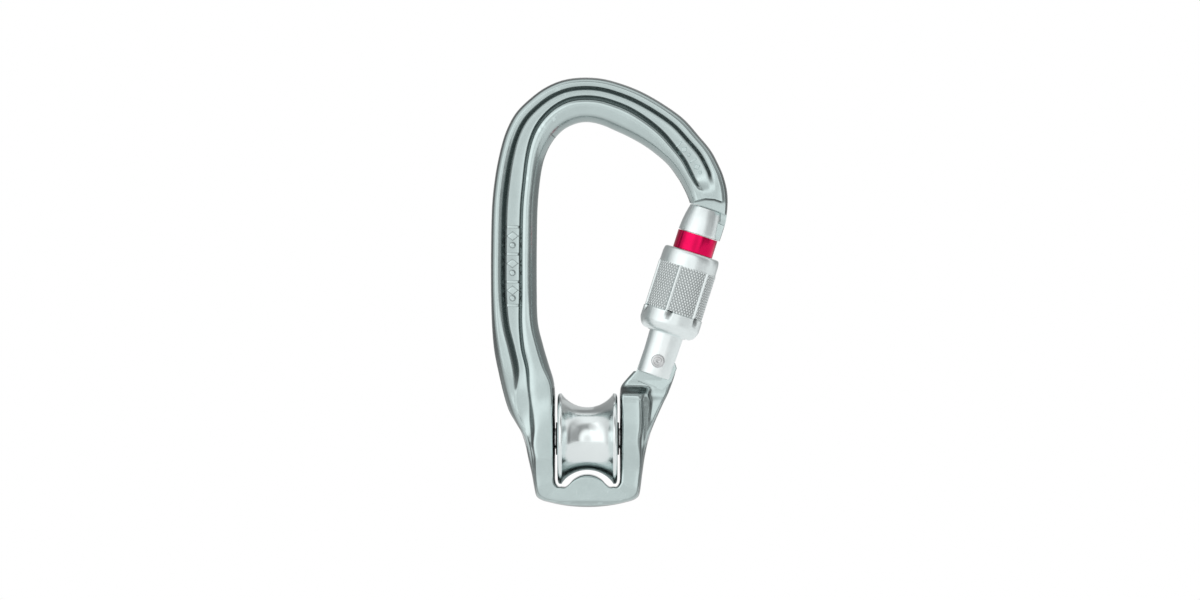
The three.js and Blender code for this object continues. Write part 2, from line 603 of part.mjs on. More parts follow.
const body = frameSolid();
const pulley = new THREE.Group();
pulley.add(frame(body), sheaveAxle(body), sheaveGroup(), gateGroup());

export default pulley;
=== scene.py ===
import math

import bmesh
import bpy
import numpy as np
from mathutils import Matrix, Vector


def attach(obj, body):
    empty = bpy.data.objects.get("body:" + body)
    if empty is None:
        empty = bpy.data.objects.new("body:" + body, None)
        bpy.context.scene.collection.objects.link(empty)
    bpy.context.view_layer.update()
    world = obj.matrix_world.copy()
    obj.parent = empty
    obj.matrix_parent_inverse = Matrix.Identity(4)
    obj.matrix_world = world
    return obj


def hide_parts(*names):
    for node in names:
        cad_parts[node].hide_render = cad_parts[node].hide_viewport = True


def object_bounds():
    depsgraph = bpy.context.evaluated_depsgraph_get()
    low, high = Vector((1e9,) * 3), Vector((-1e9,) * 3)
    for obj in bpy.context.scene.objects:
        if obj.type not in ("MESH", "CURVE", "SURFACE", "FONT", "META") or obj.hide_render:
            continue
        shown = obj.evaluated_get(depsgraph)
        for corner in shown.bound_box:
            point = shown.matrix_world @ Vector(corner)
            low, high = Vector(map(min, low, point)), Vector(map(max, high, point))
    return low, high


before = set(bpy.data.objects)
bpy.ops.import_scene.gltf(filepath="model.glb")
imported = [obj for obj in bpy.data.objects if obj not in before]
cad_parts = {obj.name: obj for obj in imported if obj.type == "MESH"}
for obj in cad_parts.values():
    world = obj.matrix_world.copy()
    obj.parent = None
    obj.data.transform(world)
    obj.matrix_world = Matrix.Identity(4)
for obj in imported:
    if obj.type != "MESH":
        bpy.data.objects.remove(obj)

# The looks of a rope pulley built into a screw-lock carabiner body.
#
# The shapes are worked out in millimetres in the CAD frame and scaled to metres as they become
# meshes. +X points from the spine to the gate, +Z is up, and the front is -Y. Pieces of the gate
# are drawn in the gate's own axes, with Z along the gate from its pivot.

cad_low, cad_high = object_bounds()

MM = 0.001
TAU = 2 * math.pi

# ------------------------------------------------------------------ driving dimensions, mm

RUNNING = 0.15                           # gap between pieces that turn on each other
SEAT = 0.3                               # gap between pieces that are pressed or riveted together
PIN_GAP = 0.02                           # gap round the axle's ends, dressed flush in the arms

# How far cutting tools reach, so that they go right through the tube, a rivet hole, the nose, the arms.
THROUGH = dict(tube=9, rivet=10, nose=12, arms=30)

AXLE_Z = -90.3
AXLE_RADIUS = 3.0
FORK_HALF_GAP = 9.2
SHEAVE = dict(radius=13.0, root=9.0, half_width=8.55, groove_half_width=7.4, dish_outside=10.6,
              dish_inside=9.6, dish=0.35)
BEARING = dict(bore=3.15, outside=6.5, width=5.0, face=8.25, pitch=4.8, ball=1.05, balls=7)
INNER_TRACK = BEARING["pitch"] - BEARING["ball"] - RUNNING
OUTER_TRACK = BEARING["pitch"] + BEARING["ball"] + RUNNING
TRACK = [(0.7, 0.3), (0.35, 0.08), (0.0, 0.0), (-0.35, 0.08), (-0.7, 0.3)]   # across, rise
SEAL = dict(gap=0.45, inset=0.05, width=0.4, dish=0.12)
CAGE = dict(half_thickness=0.3, half_width=1.6)
SPACER_OUTSIDE = 4.2
WASHER = dict(outside=4.65, inner=8.4, outer=9.0)

PIVOT = (20.1, -68.1)
TILT = math.radians(17.7)
RIVET_RADIUS = 1.5
TONGUE = 2.3
SLOT = 2.6
CAM = dict(radius=4.6, rise=2.6, first=math.radians(-40), last=math.radians(44))
GATE = dict(foot=-4.35, slot_top=8.0, bore_top=25.5, band_low=32.5, band_high=37.7, tip=45.85,
            foot_radius=5.4, radius=5.55, band_radius=5.85, tip_radius=4.7, bore=2.6,
            shoulder_low=39.5, shoulder_high=42.3, band_gap=0.2)
HEEL = [(5.7, 7.4), (5.3, 6.2), (5.05, 5.0), (4.95, 4)]   # scoop in the tube's outer side
KEY = dict(low=38.2, waist=43.0, half_width=2.9, neck=1.4, reach=-2.2, end=12, edge=0.3)
NOSE_RADIUS = 46.2
SEAM = 0.14                              # between the nose and the gate's tip
TIP_ROOM = dict(inside=34, start=-16, end=14)             # where the nose is cut for the tip
SLEEVE = dict(low=8.2, collar=14.6, knurl=27.7, high=32.5, step=24.0, foot=6.75, collar_radius=8.7,
              knurl_radius=8.45, shoulder=8.25, mouth=7.35, bore=5.85, counterbore=6.95)
KNURL = dict(starts=60, lean=math.radians(32), depth=0.3, flat=0.75, rows=112)
RIDGES = dict(count=6, first=math.radians(-105), height=0.3, flat=0.12, fall=0.9, above=0.2, below=0.6,
              run_out=1.3, drop=1.2)
# The ramp cut in the sleeve's collar beside each ridge.
NOTCH = dict(length=2.6, depth=0.85, middle=0.95, half_width=1.15, steepness=1.6)
SLEEVE_SEGMENTS = 600
FRICTION_RING = dict(inside=6.0, outside=6.65, low=24.4, high=26.2)
PLUNGER = dict(nose=1.2, radius=2.2, collar=10.4, pin=1.3, top=15.5, gap=0.45)

# The spring is drawn as short as it gets, with the gate wide open.
SPRING = dict(mean=1.9, wire=0.33, low=12.1, high=24.9, turns=8)

GATE_FRAME = (Matrix.Translation(Vector((PIVOT[0], 0, PIVOT[1])) * MM)
              @ Matrix.Rotation(TILT, 4, "Y"))
RIVET_FRAME = GATE_FRAME @ Matrix.Rotation(math.pi / 2, 4, "X")
AXLE_FRAME = Matrix.Translation(Vector((0, 0, AXLE_Z)) * MM) @ Matrix.Rotation(math.pi / 2, 4, "Y")
WORLD = Matrix.Identity(4)
SHARP = math.radians(40)                 # edges that turn by more are drawn sharp


# ------------------------------------------------------------------ mesh helpers

def linked(name, data, place=WORLD, sharp=None):
    """A new object in the scene, its mesh tidied where sharp says how its edges are shaded."""
    obj = bpy.data.objects.new(name, data)
    bpy.context.scene.collection.objects.link(obj)
    obj.matrix_world = place
    if sharp is not None:
        tidy_mesh(obj, sharp)
    return obj


def make_object(name, verts, faces, place=WORLD, sharp=SHARP, painted_shade=None):
    """A smooth-shaded object from points in mm. The last argument gives the painted shade that darkens the
    colour at each point.
    """
    mesh = bpy.data.meshes.new(name)
    mesh.from_pydata((np.asarray(verts, float) * MM).tolist(), [], [list(f) for f in faces])
    if painted_shade is not None:
        set_painted_shade(mesh, painted_shade)
    return linked(name, mesh, place, sharp)


# Painted shade per point: how far the colour is darkened there, standing in for shade.
def set_painted_shade(mesh, values):
    mesh.attributes.new("painted_shade", "FLOAT", "POINT").data.foreach_set("value", np.asarray(values, float))


def tidy_mesh(obj, sharp=SHARP):
    work = bmesh.new()
    work.from_mesh(obj.data)
    bmesh.ops.remove_doubles(work, verts=work.verts, dist=1e-7)
    bmesh.ops.recalc_face_normals(work, faces=work.faces)
    work.to_mesh(obj.data)
    work.free()
    obj.data.polygons.foreach_set("use_smooth", [True] * len(obj.data.polygons))
    obj.data.set_sharp_from_angle(angle=sharp)


def combine(obj, tool, operation):
    """Joins or cuts obj with tool, and removes the tool."""
    bpy.context.view_layer.update()
    step = obj.modifiers.new("combine", "BOOLEAN")
    step.object = tool
    step.operation = operation
    step.solver = "MANIFOLD"
    graph = bpy.context.evaluated_depsgraph_get()
    result = bpy.data.meshes.new_from_object(obj.evaluated_get(graph))
    obj.modifiers.clear()
    if len(result.polygons) == 0:
        raise RuntimeError(f"{operation} of {obj.name} with {tool.name} left nothing")
    obj.data = result
    bpy.data.objects.remove(tool)
    tidy_mesh(obj)
    return obj


def copy_of(obj, name):
    return linked(name, obj.data.copy(), obj.matrix_world)


def grid_faces(rows, columns, rows_close=True, columns_close=True):
    """The quads between points numbered row by row, where a side that closes meets its start."""
    i, k = np.meshgrid(np.arange(rows - (not rows_close)), np.arange(columns - (not columns_close)),
                       indexing="ij")
    j, m = (i + 1) % rows, (k + 1) % columns
    corners = [i * columns + k, j * columns + k, j * columns + m, i * columns + m]
    return np.stack(corners, axis=-1).reshape(-1, 4).tolist()


def rounded_profile(corners, steps=5):
    """A polyline whose corners [radius, height, rounding] are replaced by short smooth arcs."""
    points = []
    for k, corner in enumerate(corners):
        here = np.array(corner[:2], float)
        rounding = corner[2] if len(corner) > 2 else 0.0
        if rounding <= 0 or k in (0, len(corners) - 1):
            points.append(here)
            continue
        before = np.array(corners[k - 1][:2], float) - here
        after = np.array(corners[k + 1][:2], float) - here
        start = here + before * min(0.48, rounding / np.linalg.norm(before))
        end = here + after * min(0.48, rounding / np.linalg.norm(after))
        for t in np.linspace(0, 1, steps):
            points.append((1 - t) ** 2 * start + 2 * t * (1 - t) * here + t ** 2 * end)
    return np.array(points)


def turned(name, corners, place, segments=128, closed=False):
    """A body of revolution about the local Z axis. closed profiles end where they start."""
    profile = rounded_profile(corners)
    if closed:
        profile = profile[:-1]
    angles = np.arange(segments) * TAU / segments
    radius, height = profile[:, 0], profile[:, 1]
    verts = np.stack([
        np.outer(np.cos(angles), radius), np.outer(np.sin(angles), radius),
        np.tile(height, (segments, 1)),
    ], axis=-1).reshape(-1, 3)
    return make_object(name, verts, grid_faces(segments, len(profile), columns_close=closed), place)


def ring(name, inside, outside, low, high, place, edge=0.1, segments=96):
    corners = [(inside, (low + high) / 2), (inside, low, edge), (outside, low, edge),
               (outside, high, edge), (inside, high, edge), (inside, (low + high) / 2)]
    return turned(name, corners, place, segments, closed=True)


def rod(name, radius, low, high, place, segments=64):
    return turned(name, [(0, low), (radius, low), (radius, high), (0, high)], place, segments)


def plate(name, outline, half_thickness, place, edge=0.0):
    """A plate of an XZ outline about the XZ plane, with its two rims rounded."""
    work = bmesh.new()
    front = [work.verts.new((x * MM, -half_thickness * MM, z * MM)) for x, z in outline]
    face = work.faces.new(front)
    pulled = bmesh.ops.extrude_face_region(work, geom=[face])["geom"]
    moved = [v for v in pulled if isinstance(v, bmesh.types.BMVert)]
    bmesh.ops.translate(work, verts=moved, vec=(0, 2 * half_thickness * MM, 0))
    if edge:
        rims = [e for e in work.edges if abs(e.verts[0].co.y - e.verts[1].co.y) < 1e-9]
        bmesh.ops.bevel(work, geom=rims, offset=edge * MM, segments=3, profile=0.6, affect="EDGES")
    bmesh.ops.recalc_face_normals(work, faces=work.faces)
    mesh = bpy.data.meshes.new(name)
    work.to_mesh(mesh)
    work.free()
    return linked(name, mesh, place, SHARP)


def arc(radius, start, end, steps):
    return [(radius * math.sin(a), radius * math.cos(a)) for a in np.linspace(start, end, steps)]


def sector(name, inside, outside, x0, x1, half_thickness, edge=0.0, steps=40):
    """Part of a flat ring about the gate's pivot, between two radii, across the gate from x0 to x1."""
    a0, a1 = math.asin(x0 / outside), math.asin(x1 / outside)
    outline = arc(outside, a0, a1, steps) + arc(inside, a1, a0, steps)
    return plate(name, outline, half_thickness, GATE_FRAME, edge)


def piece(obj, body, finish, *nodes):
    """Completes a piece: the body it rides on, its finish and the nodes it stands for."""
    slot, material = finish
    obj.data.materials.clear()
    obj.data.materials.append(material)
    if nodes:
        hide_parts(*nodes)
    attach(obj, body)
    return obj


# ------------------------------------------------------------------ materials

class NodeTree:
    """A node tree, with short ways to add and link its nodes."""

    def __init__(self, tree):
        self.tree = tree

    def add(self, kind, inputs=None, **settings):
        node = self.tree.nodes.new(kind)
        for key, value in settings.items():
            setattr(node, key, value)
        for key, value in (inputs or {}).items():
            self.feed(node.inputs[key], value)
        return node

    def feed(self, socket, value):
        if isinstance(value, bpy.types.NodeSocket):
            self.tree.links.new(value, socket)
        else:
            socket.default_value = value

    def math(self, operation, a, b=0.0):
        return self.add("ShaderNodeMath", {0: a, 1: b}, operation=operation).outputs[0]


class Nodes(NodeTree):
    """A material's nodes round its Principled shader."""

    def __init__(self, name):
        self.material = bpy.data.materials.new(name)
        self.material.use_nodes = True
        super().__init__(self.material.node_tree)
        self.shader = self.tree.nodes["Principled BSDF"]

    def set(self, **inputs):
        for key, value in inputs.items():
            self.feed(self.shader.inputs[key.replace("_", " ")], value)

    def place(self, scale=(1, 1, 1)):
        """The piece's own coordinates in mm, stretched by scale."""
        coords = self.add("ShaderNodeTexCoord").outputs["Object"]
        return self.add("ShaderNodeMapping", {
            "Vector": coords, "Scale": tuple(1000 * s for s in scale)}).outputs["Vector"]

    def noise(self, scale, detail=4.0, stretch=(1, 1, 1), roughness=0.55):
        return self.add("ShaderNodeTexNoise", {
            "Vector": self.place(stretch), "Scale": scale, "Detail": detail,
            "Roughness": roughness}).outputs["Fac"]

    def remap(self, value, low, high, to_low, to_high):
        return self.add("ShaderNodeMapRange", {
            "Value": value, "From Min": low, "From Max": high,
            "To Min": to_low, "To Max": to_high}).outputs["Result"]

    def blend(self, factor, a, b):
        node = self.add("ShaderNodeMix", {"Factor": factor}, data_type="RGBA")
        self.feed(node.inputs[6], a)
        self.feed(node.inputs[7], b)
        return node.outputs[2]

    def bump(self, height, depth_mm, strength=1.0, below=None):
        inputs = {"Height": height, "Distance": depth_mm * MM, "Strength": strength}
        if below is not None:
            inputs["Normal"] = below
        return self.add("ShaderNodeBump", inputs).outputs["Normal"]


def shade(color, factor):
    return tuple(min(1.0, c * factor) for c in color) + (1.0,)


def metal(slot, color, rough, spread=0.06, cloud=0.08, grain=0.004, grain_size=6.0,
          scratch=0.0, scratch_way=(1, 1, 1), rings=0.0, wear=0.0, painted_shade_amount=0.0):
    """Metal with cloudy tone, uneven gloss and fine grain.

    Scratches, lathe rings and rubbed edges are added where they are asked for, and painted shade that darkens
    grooves, steep walls and gaps.
    """
    n = Nodes(slot)
    tone = n.noise(0.12, 3.0)
    fine = n.noise(1.4, 5.0)
    mottled = n.math("ADD", n.math("MULTIPLY", tone, 0.7), n.math("MULTIPLY", fine, 0.3))
    base = n.blend(n.remap(mottled, 0.35, 0.65, 0, 1), shade(color, 1 - cloud), shade(color, 1 + cloud))
    gloss = n.remap(mottled, 0.3, 0.7, rough - spread, rough + spread)
    normal = n.bump(n.noise(grain_size, 3.0), grain)
    if rings:
        turning = n.noise(9.0, 2.0, (0.002, 0.002, 1))
        normal = n.bump(turning, rings, below=normal)
        gloss = n.math("ADD", gloss, n.remap(turning, 0.3, 0.7, -0.03, 0.05))
    if scratch:
        lines = n.noise(5.0, 2.0, scratch_way, 0.7)
        hair = n.remap(lines, 0.6, 0.72, 0, 1)
        normal = n.bump(hair, scratch, 0.6, below=normal)
        gloss = n.math("ADD", gloss, n.math("MULTIPLY", hair, 0.08))
    if wear:
        edge = n.add("ShaderNodeNewGeometry").outputs["Pointiness"]
        rubbed = n.remap(edge, 0.505, 0.56, 0, wear)
        base = n.blend(rubbed, base, shade(color, 1.45))
    # Painted shade: a point attribute darkens the colour towards near black, standing in for shade in
    # grooves, on steep walls and in gaps; the gloss is also roughened there.
    if painted_shade_amount:
        painted_shade = n.add("ShaderNodeAttribute", attribute_name="painted_shade").outputs["Fac"]
        base = n.blend(n.math("MULTIPLY", painted_shade, painted_shade_amount), base, shade(color, 0.12))
        gloss = n.math("ADD", gloss, n.math("MULTIPLY", painted_shade, 0.08))
    n.set(Base_Color=base, Metallic=1.0, Roughness=gloss, Normal=normal)
    return slot, n.material


def plain(slot, color, rough, grain_size, depth, speck=0.2):
    """Moulded rubber or plastic: mottled tone, uneven gloss and a fine pebble grain."""
    n = Nodes(slot)
    cloud = n.noise(0.8, 4.0)
    base = n.blend(n.remap(cloud, 0.35, 0.65, 0, 1), shade(color, 1 - speck), shade(color, 1 + speck))
    n.set(Base_Color=base, Roughness=n.remap(cloud, 0.3, 0.7, rough - 0.08, rough + 0.08),
          Normal=n.bump(n.noise(grain_size, 3.0), depth))
    return slot, n.material


# Forged and frosted aluminium darken where their meshes carry painted shade.
FORGED = metal("forged_aluminium", (0.54, 0.635, 0.63), 0.19, 0.04, 0.04, 0.003, 3.0,
               scratch=0.004, scratch_way=(1, 1, 0.12), wear=0.4, painted_shade_amount=0.85)
POLISHED = metal("polished_aluminium", (0.83, 0.89, 0.89), 0.17, 0.03, 0.03, 0.0008, 8.0, rings=0.0025)
FROSTED = metal("frosted_aluminium", (0.84, 0.91, 0.91), 0.32, 0.04, 0.04, 0.006, 7.0, rings=0.002,
                wear=0.3, painted_shade_amount=0.75)
RED = metal("red_anodised", (0.80, 0.008, 0.10), 0.18, 0.04, 0.12, 0.0015, 8.0, rings=0.002)
STEEL = metal("steel", (0.60, 0.615, 0.62), 0.24, 0.05, 0.06, 0.002, 5.0, rings=0.003)
BALL_STEEL = metal("bearing_steel", (0.66, 0.67, 0.68), 0.1, 0.03, 0.03, 0.0005, 9.0)
WIRE = metal("spring_steel", (0.42, 0.43, 0.44), 0.28, 0.05, 0.08, 0.002, 6.0)
BRONZE = metal("bronze", (0.60, 0.42, 0.22), 0.32, 0.06, 0.12, 0.003, 5.0)
RUBBER = plain("black_rubber", (0.02, 0.02, 0.022), 0.6, 6.0, 0.01)
POLYMER = plain("black_polymer", (0.03, 0.03, 0.032), 0.45, 5.0, 0.006)


# ------------------------------------------------------------------ the forged body

# About how wide the body is, to judge how steep the stretches of its sections are.
WIDTH_GUIDE = 13.0

# Half of a cross-section, as (distance in from the outer edge, height above the mid-plane).
# Every section has the same thirteen rails: the outer edge, its side and rounding, the outer rib
# and its lip, the groove floor's two sides, the inner lip and rib, a fine step, and the inner
# rounding, side and edge. The last distance is the width that the section is drawn for.
SECTIONS = {
    "nose": [(0, 0), (0.2, 2.6), (0.8, 4.5), (1.7, 5.1), (3.2, 5.2), (4.5, 5.1), (7, 5), (8, 5),
        (9.2, 5.1), (9.9, 4.8), (10.5, 4.4), (11.6, 2.4), (11.8, 0)],
    "groove_end": [(0, 0), (0.15, 2.7), (0.7, 4.7), (1.8, 5.4), (3.3, 5.2), (4.4, 4.2), (7.8, 3.5),
        (8.6, 5.1), (9.3, 5.3), (10, 5), (10.8, 4.5), (11.9, 2.4), (12.2, 0)],
    "shoulder": [(0, 0), (0.15, 2.8), (0.7, 4.9), (1.8, 5.5), (3, 5.2), (4, 3.4), (8, 3.2), (8.9, 5.1),
        (9.6, 5.4), (10.3, 5.1), (11.1, 4.6), (12.3, 2.4), (12.6, 0)],
    "bend": [(0, 0), (0.1, 2.9), (0.6, 4.9), (1.5, 5.5), (2.6, 5.2), (3.5, 3.2), (5.2, 2.9), (6.5, 5.2),
        (7.6, 5.5), (8.9, 5.2), (10.6, 4.7), (12.4, 2.4), (12.7, 0)],
    "spine": [(0, 0), (0.1, 2.9), (0.6, 4.9), (1.6, 5.6), (2.9, 5.2), (4.2, 2.7), (8.1, 2.8), (8.9, 5.1),
        (9.9, 5.5), (10.9, 5.2), (11.6, 4.7), (12.9, 2.4), (13.1, 0)],
    "spine_foot": [(0, 0), (0.5, 2.6), (1.4, 4.7), (1.9, 5.3), (4.4, 5.2), (6, 3.3), (7.8, 3.3),
        (8.8, 5.4), (10, 5.8), (12, 5.8), (12.7, 5.3), (14, 2.8), (14.3, 0)],
    "web_top": [(0, 0), (0.6, 2.3), (1.5, 4.2), (1.9, 4.6), (4.2, 4.7), (5.4, 4.4), (7.6, 4.5),
        (8.2, 5.7), (9.2, 6.1), (13, 6.2), (13.7, 5.8), (14.5, 3.2), (14.7, 0)],
    "web": [(0, 0), (0.5, 2.1), (1.3, 3.8), (1.7, 4.2), (2.2, 4.4), (2.8, 4.25), (6.3, 4.4), (6.9, 5.7),
        (7.9, 6.2), (12.5, 6.4), (13.2, 6.1), (13.8, 4.2), (14, 0)],
    "web_foot": [(0, 0), (0.15, 2), (0.5, 3.3), (0.9, 3.8), (1.4, 4.1), (1.7, 3.9), (3.2, 4.3),
        (4.6, 6.9), (5.6, 7.2), (9.1, 7.2), (9.7, 6.8), (10.15, 4.8), (10.3, 0)],
    "arm": [(0, 0), (0.15, 2), (0.5, 3.3), (0.8, 4), (1.1, 4.6), (1.4, 5.2), (1.7, 5.8), (2.2, 6.9),
        (3.1, 7.1), (6.9, 7.1), (7.4, 6.8), (7.85, 5.4), (8, 0)],
    "arm_foot": [(0, 0), (0.1, 2.4), (0.25, 3.9), (0.35, 4.4), (0.45, 4.9), (0.55, 5.3), (0.7, 5.6),
        (0.9, 6.1), (2.2, 6.3), (5.3, 6.3), (5.8, 6.1), (6.2, 5), (6.3, 0)],
    "bridge": [(0, 0), (0.1, 2.6), (0.4, 4.3), (0.6, 4.8), (0.8, 5.1), (1, 5.3), (1.2, 5.5), (1.5, 5.8),
        (4, 5.9), (7.2, 5.9), (7.6, 5.7), (7.9, 4.8), (8, 0)],
    "gate_arm": [(0, 0), (0.1, 2), (0.4, 3.3), (0.8, 3.8), (1.2, 4), (1.8, 4.2), (2.7, 4.7), (3.5, 6.6),
        (4.2, 7), (8.5, 7), (9.1, 6.7), (9.55, 5), (9.7, 0)],
    "gate_web": [(0, 0), (0.1, 1.6), (0.45, 2.7), (0.9, 3), (3.4, 3.2), (3.8, 4.3), (5.6, 4.8),
        (6.1, 5.9), (6.6, 6.4), (10.8, 6.5), (11.3, 6.2), (11.7, 4.4), (11.8, 0)],
    "gate_neck": [(0, 0), (0.15, 1.4), (0.5, 2.2), (1, 2.4), (5.2, 2.6), (5.7, 3.6), (6.6, 4.6),
        (7.6, 5.8), (8.6, 6.2), (12.5, 6.2), (13.1, 5.9), (13.6, 3.8), (13.7, 0)],
    "tongue": [(0, 0), (0.2, 1.3), (0.7, 2.1), (1.4, 2.3), (4.2, 2.3), (5.4, 2.3), (6.6, 2.3), (8, 2.3),
        (9.6, 2.3), (11.8, 2.3), (12.4, 2.1), (13, 1.3), (13.1, 0)],
}

# How round each rail's corner is: half of the way to its neighbours at 0.5, nearly sharp at 0.1.
ROUNDNESS = (0.5, 0.5, 0.35, 0.35, 0.3, 0.25, 0.2, 0.25, 0.5, 0.2, 0.4, 0.5, 0.5)

# How much painted shade darkens each stretch between two rails where it is steep, and
# the steepness where that starts and where it is full: across the strand and along it.
SHADE_WEIGHTS = (0.75, 0.95, 0.35, 0.0, 1.0, 0.0, 0.85, 0.0, 0.0, 0.6, 0.4, 0.45)
STEEP_ACROSS = (0.3, 0.8)
STEEP_ALONG = (0.45, 0.75)
INNER_ROUNDING = 10                      # the first stretch of the inner edge's rounding


def section(a, b=None, t=0.0):
    """A section as fractions of its width, or a mix of two."""
    first = np.array(SECTIONS[a], float)
    first[:, 0] /= first[-1, 0]
    if b is None:
        return first
    second = np.array(SECTIONS[b], float)
    second[:, 0] /= second[-1, 0]
    return first * (1 - t) + second * t


# The body is one strand from the nose to the gate's lug. Each station pairs a point of the outer
# edge with the point of the inner edge across from it: outer x, outer z, inner x, inner z, and the
# section there or the mix of two.
SPINE_SIDE = [
    (37.8, -34, 28.4, -31, "nose"),
    (39.5, -28.5, 29.9, -26.5, "nose"),
    (40.1, -23.3, 29.1, -22.9, "nose"),
    (39.9, -19.4, 28, -20.1, "nose"),
    (39, -15.8, 26.7, -17.6, "groove_end"),
    (37.9, -13, 25.6, -15.8, "groove_end", "shoulder", 0.8),
    (35.4, -8.2, 23.2, -12.5, "shoulder", "bend", 0.15),
    (31.9, -3.9, 20.2, -9.7, "shoulder", "bend", 0.35),
    (27.4, 1.1, 16.3, -6.8, "shoulder", "bend", 0.6),
    (21.6, 5.3, 11.9, -4.3, "shoulder", "bend", 0.85),
    (15.6, 8.7, 7.6, -2.3, "bend"),
    (9.9, 11, 4.6, -1, "bend"),
    (4.2, 12.5, 1.8, -0.2, "bend"),
    (-1.5, 12.85, -0.9, 0, "bend"),
    (-7, 12.1, -3.6, -0.55, "bend"),
    (-12.2, 9.9, -6.2, -1.75, "bend", "spine", 0.1),
    (-17, 6.3, -8.2, -3.4, "bend", "spine", 0.25),
    (-20.7, 2.4, -9.9, -5.5, "bend", "spine", 0.45),
    (-23.3, -2.6, -11.4, -8.2, "bend", "spine", 0.65),
    (-25, -8.3, -12.7, -12, "bend", "spine", 0.85),
    (-26.4, -15.5, -13.6, -17.5, "spine"),
    (-27.3, -24, -14.2, -25, "spine"),
    (-27.6, -36, -14.4, -36, "spine"),
    (-27.6, -48, -14.4, -48, "spine"),
    (-27.4, -57.5, -14.1, -57, "spine", "spine_foot", 0.4),
    (-26.8, -65, -12.6, -63.5, "spine_foot"),
    (-25.5, -71.7, -11, -69, "spine_foot", "web_top", 0.25),
    (-24, -78, -9.6, -73.6, "web_top", "web", 0.55),
    (-22.6, -82.3, -9.2, -77.5, "web"),
    (-20.7, -85.6, -9.2, -82, "web", "web_foot", 0.6),
    (-18.9, -88.7, -9.2, -86.5, "web_foot", "arm", 0.3),
    (-17.7, -92.5, -9.2, -91, "arm"),
    (-16.9, -96.2, -9.2, -95.5, "arm"),
    (-15.9, -100.6, -9.2, -99.5, "arm", "arm_foot", 0.7),
    (-15.1, -105, -9.2, -102, "arm_foot"),
    (-14.5, -106.9, -8.8, -103.3, "arm_foot", "bridge", 0.6),
]

GATE_SIDE = [
    (14.5, -106.9, 8.8, -103.3, "arm_foot", "bridge", 0.6),
    (15.1, -105, 9.2, -102, "arm_foot"),
    (15.8, -99.6, 9.2, -99, "arm_foot"),
    (16.5, -95, 9.2, -95, "arm", "arm_foot", 0.5),
    (17.5, -90.6, 9.2, -90.8, "arm", "gate_arm", 0.6),
    (18.7, -87, 9.2, -87, "gate_arm"),
    (20.2, -83.5, 9.2, -83.2, "gate_arm", "gate_web", 0.5),
    (21.8, -80, 9.2, -79.8, "gate_web"),
    (22.9, -77.8, 9.25, -77.4, "gate_neck"),
    (23.8, -75.6, 9.6, -75.3, "tongue"),
    (24.6, -73.4, 11.2, -73.2, "tongue"),
    (25.2, -71.4, 13.2, -71, "tongue"),
]

# The nose's end is faced flat on both sides, below a line across it.
NOSE_FACE = dict(height=4.4, tool=4, fillet=0.8)
NOSE_CUT = [(27, -22.6), (30.5, -22.3), (33.6, -21.7), (36.2, -21.9), (38, -22.5), (42, -23.2),
            (42, -40), (27, -40)]

BOTTOM_EDGE = dict(z=-109.9, radius=43.3)
POCKET_FLOOR = -103.95
HUMP = dict(z=-106.63, radius=6.23)


def bridge_stations():
    """Below the sheave the bottom edge is one long arc, and the pocket floor rises in a round hump."""
    across = [(-13, -8.2), (-11, -7.3), (-8.7, -6.2), (-6.6, -5.1), (-4.6, -4), (-2.3, -2.1), (0, 0)]
    edge = BOTTOM_EDGE["radius"]
    half = []
    for outer, inner in across:
        outer_z = BOTTOM_EDGE["z"] + edge - math.sqrt(edge ** 2 - outer ** 2)
        rise = HUMP["radius"] ** 2 - inner ** 2
        hump_z = HUMP["z"] + math.sqrt(rise) if rise > 0 else POCKET_FLOOR
        half.append((outer, outer_z, inner, max(POCKET_FLOOR, hump_z), "bridge"))
    return half + [(-ox, oz, -ix, iz, name) for ox, oz, ix, iz, name in reversed(half[:-1])]


STATIONS = [(*row[:4], section(*row[4:])) for row in SPINE_SIDE + bridge_stations() + GATE_SIDE]


def smooth_through(points, t):
    """A smooth curve through evenly numbered points, at the numbers t."""
    points = np.asarray(points, float)
    last = len(points) - 1
    i = np.clip(np.floor(t).astype(int), 0, last - 1)
    shape = (-1,) + (1,) * (points.ndim - 1)
    w = (t - i).reshape(shape)
    p0, p1 = points[np.where(i == 0, 0, i - 1)], points[i]
    p2, p3 = points[i + 1], points[np.minimum(i + 2, last)]
    v0, v1 = (p2 - p0) / 2, (p3 - p1) / 2
    cubic = (2 * p1 - 2 * p2 + v0 + v1) * w ** 3
    square = (-3 * p1 + 3 * p2 - 2 * v0 - v1) * w ** 2
    return cubic + square + v0 * w + p1


def even_steps(spacing):
    """Station numbers that are about the same distance apart along the strand."""
    outer = np.array([s[:2] for s in STATIONS])
    inner = np.array([s[2:4] for s in STATIONS])
    lengths = np.maximum(np.linalg.norm(np.diff(outer, axis=0), axis=1),
                         np.linalg.norm(np.diff(inner, axis=0), axis=1))
    steps = [np.linspace(k, k + 1, max(3, round(length / spacing)), endpoint=False)
             for k, length in enumerate(lengths)]
    return np.concatenate(steps + [[len(lengths)]])


def share(value, low, high):
    """0 below low, 1 above high and even in between."""
    return np.clip((value - low) / (high - low), 0, 1)


def shaded_stretches(rails, inner):
    """How much painted shade each stretch between two rails gets: the steep ones, and the edges beside the
    sheave.
    """
    step = np.abs(np.diff(rails, axis=1))
    length = np.hypot(step[:, :, 0] * WIDTH_GUIDE, step[:, :, 1])
    shade_mask = share(step[:, :, 1] / np.maximum(1e-6, length), *STEEP_ACROSS) * SHADE_WEIGHTS
    # The inner edges beside the sheave get full painted shade, for the shade in the gap between the sheave
    # and the arms.
    beside_sheave = np.abs(np.abs(inner[:, 0]) - FORK_HALF_GAP) < 0.1
    shade_mask[beside_sheave, INNER_ROUNDING:] = 1
    return np.concatenate([shade_mask, shade_mask[:, ::-1]], axis=1)


def shaded_slopes(corners):
    """How much painted shade each corner gets because the strand falls away steeply along its length."""
    step = np.gradient(corners, axis=0)
    slope = np.abs(step[:, :, 1]) / np.maximum(0.05, np.linalg.norm(step, axis=2))
    return share(slope, *STEEP_ALONG)


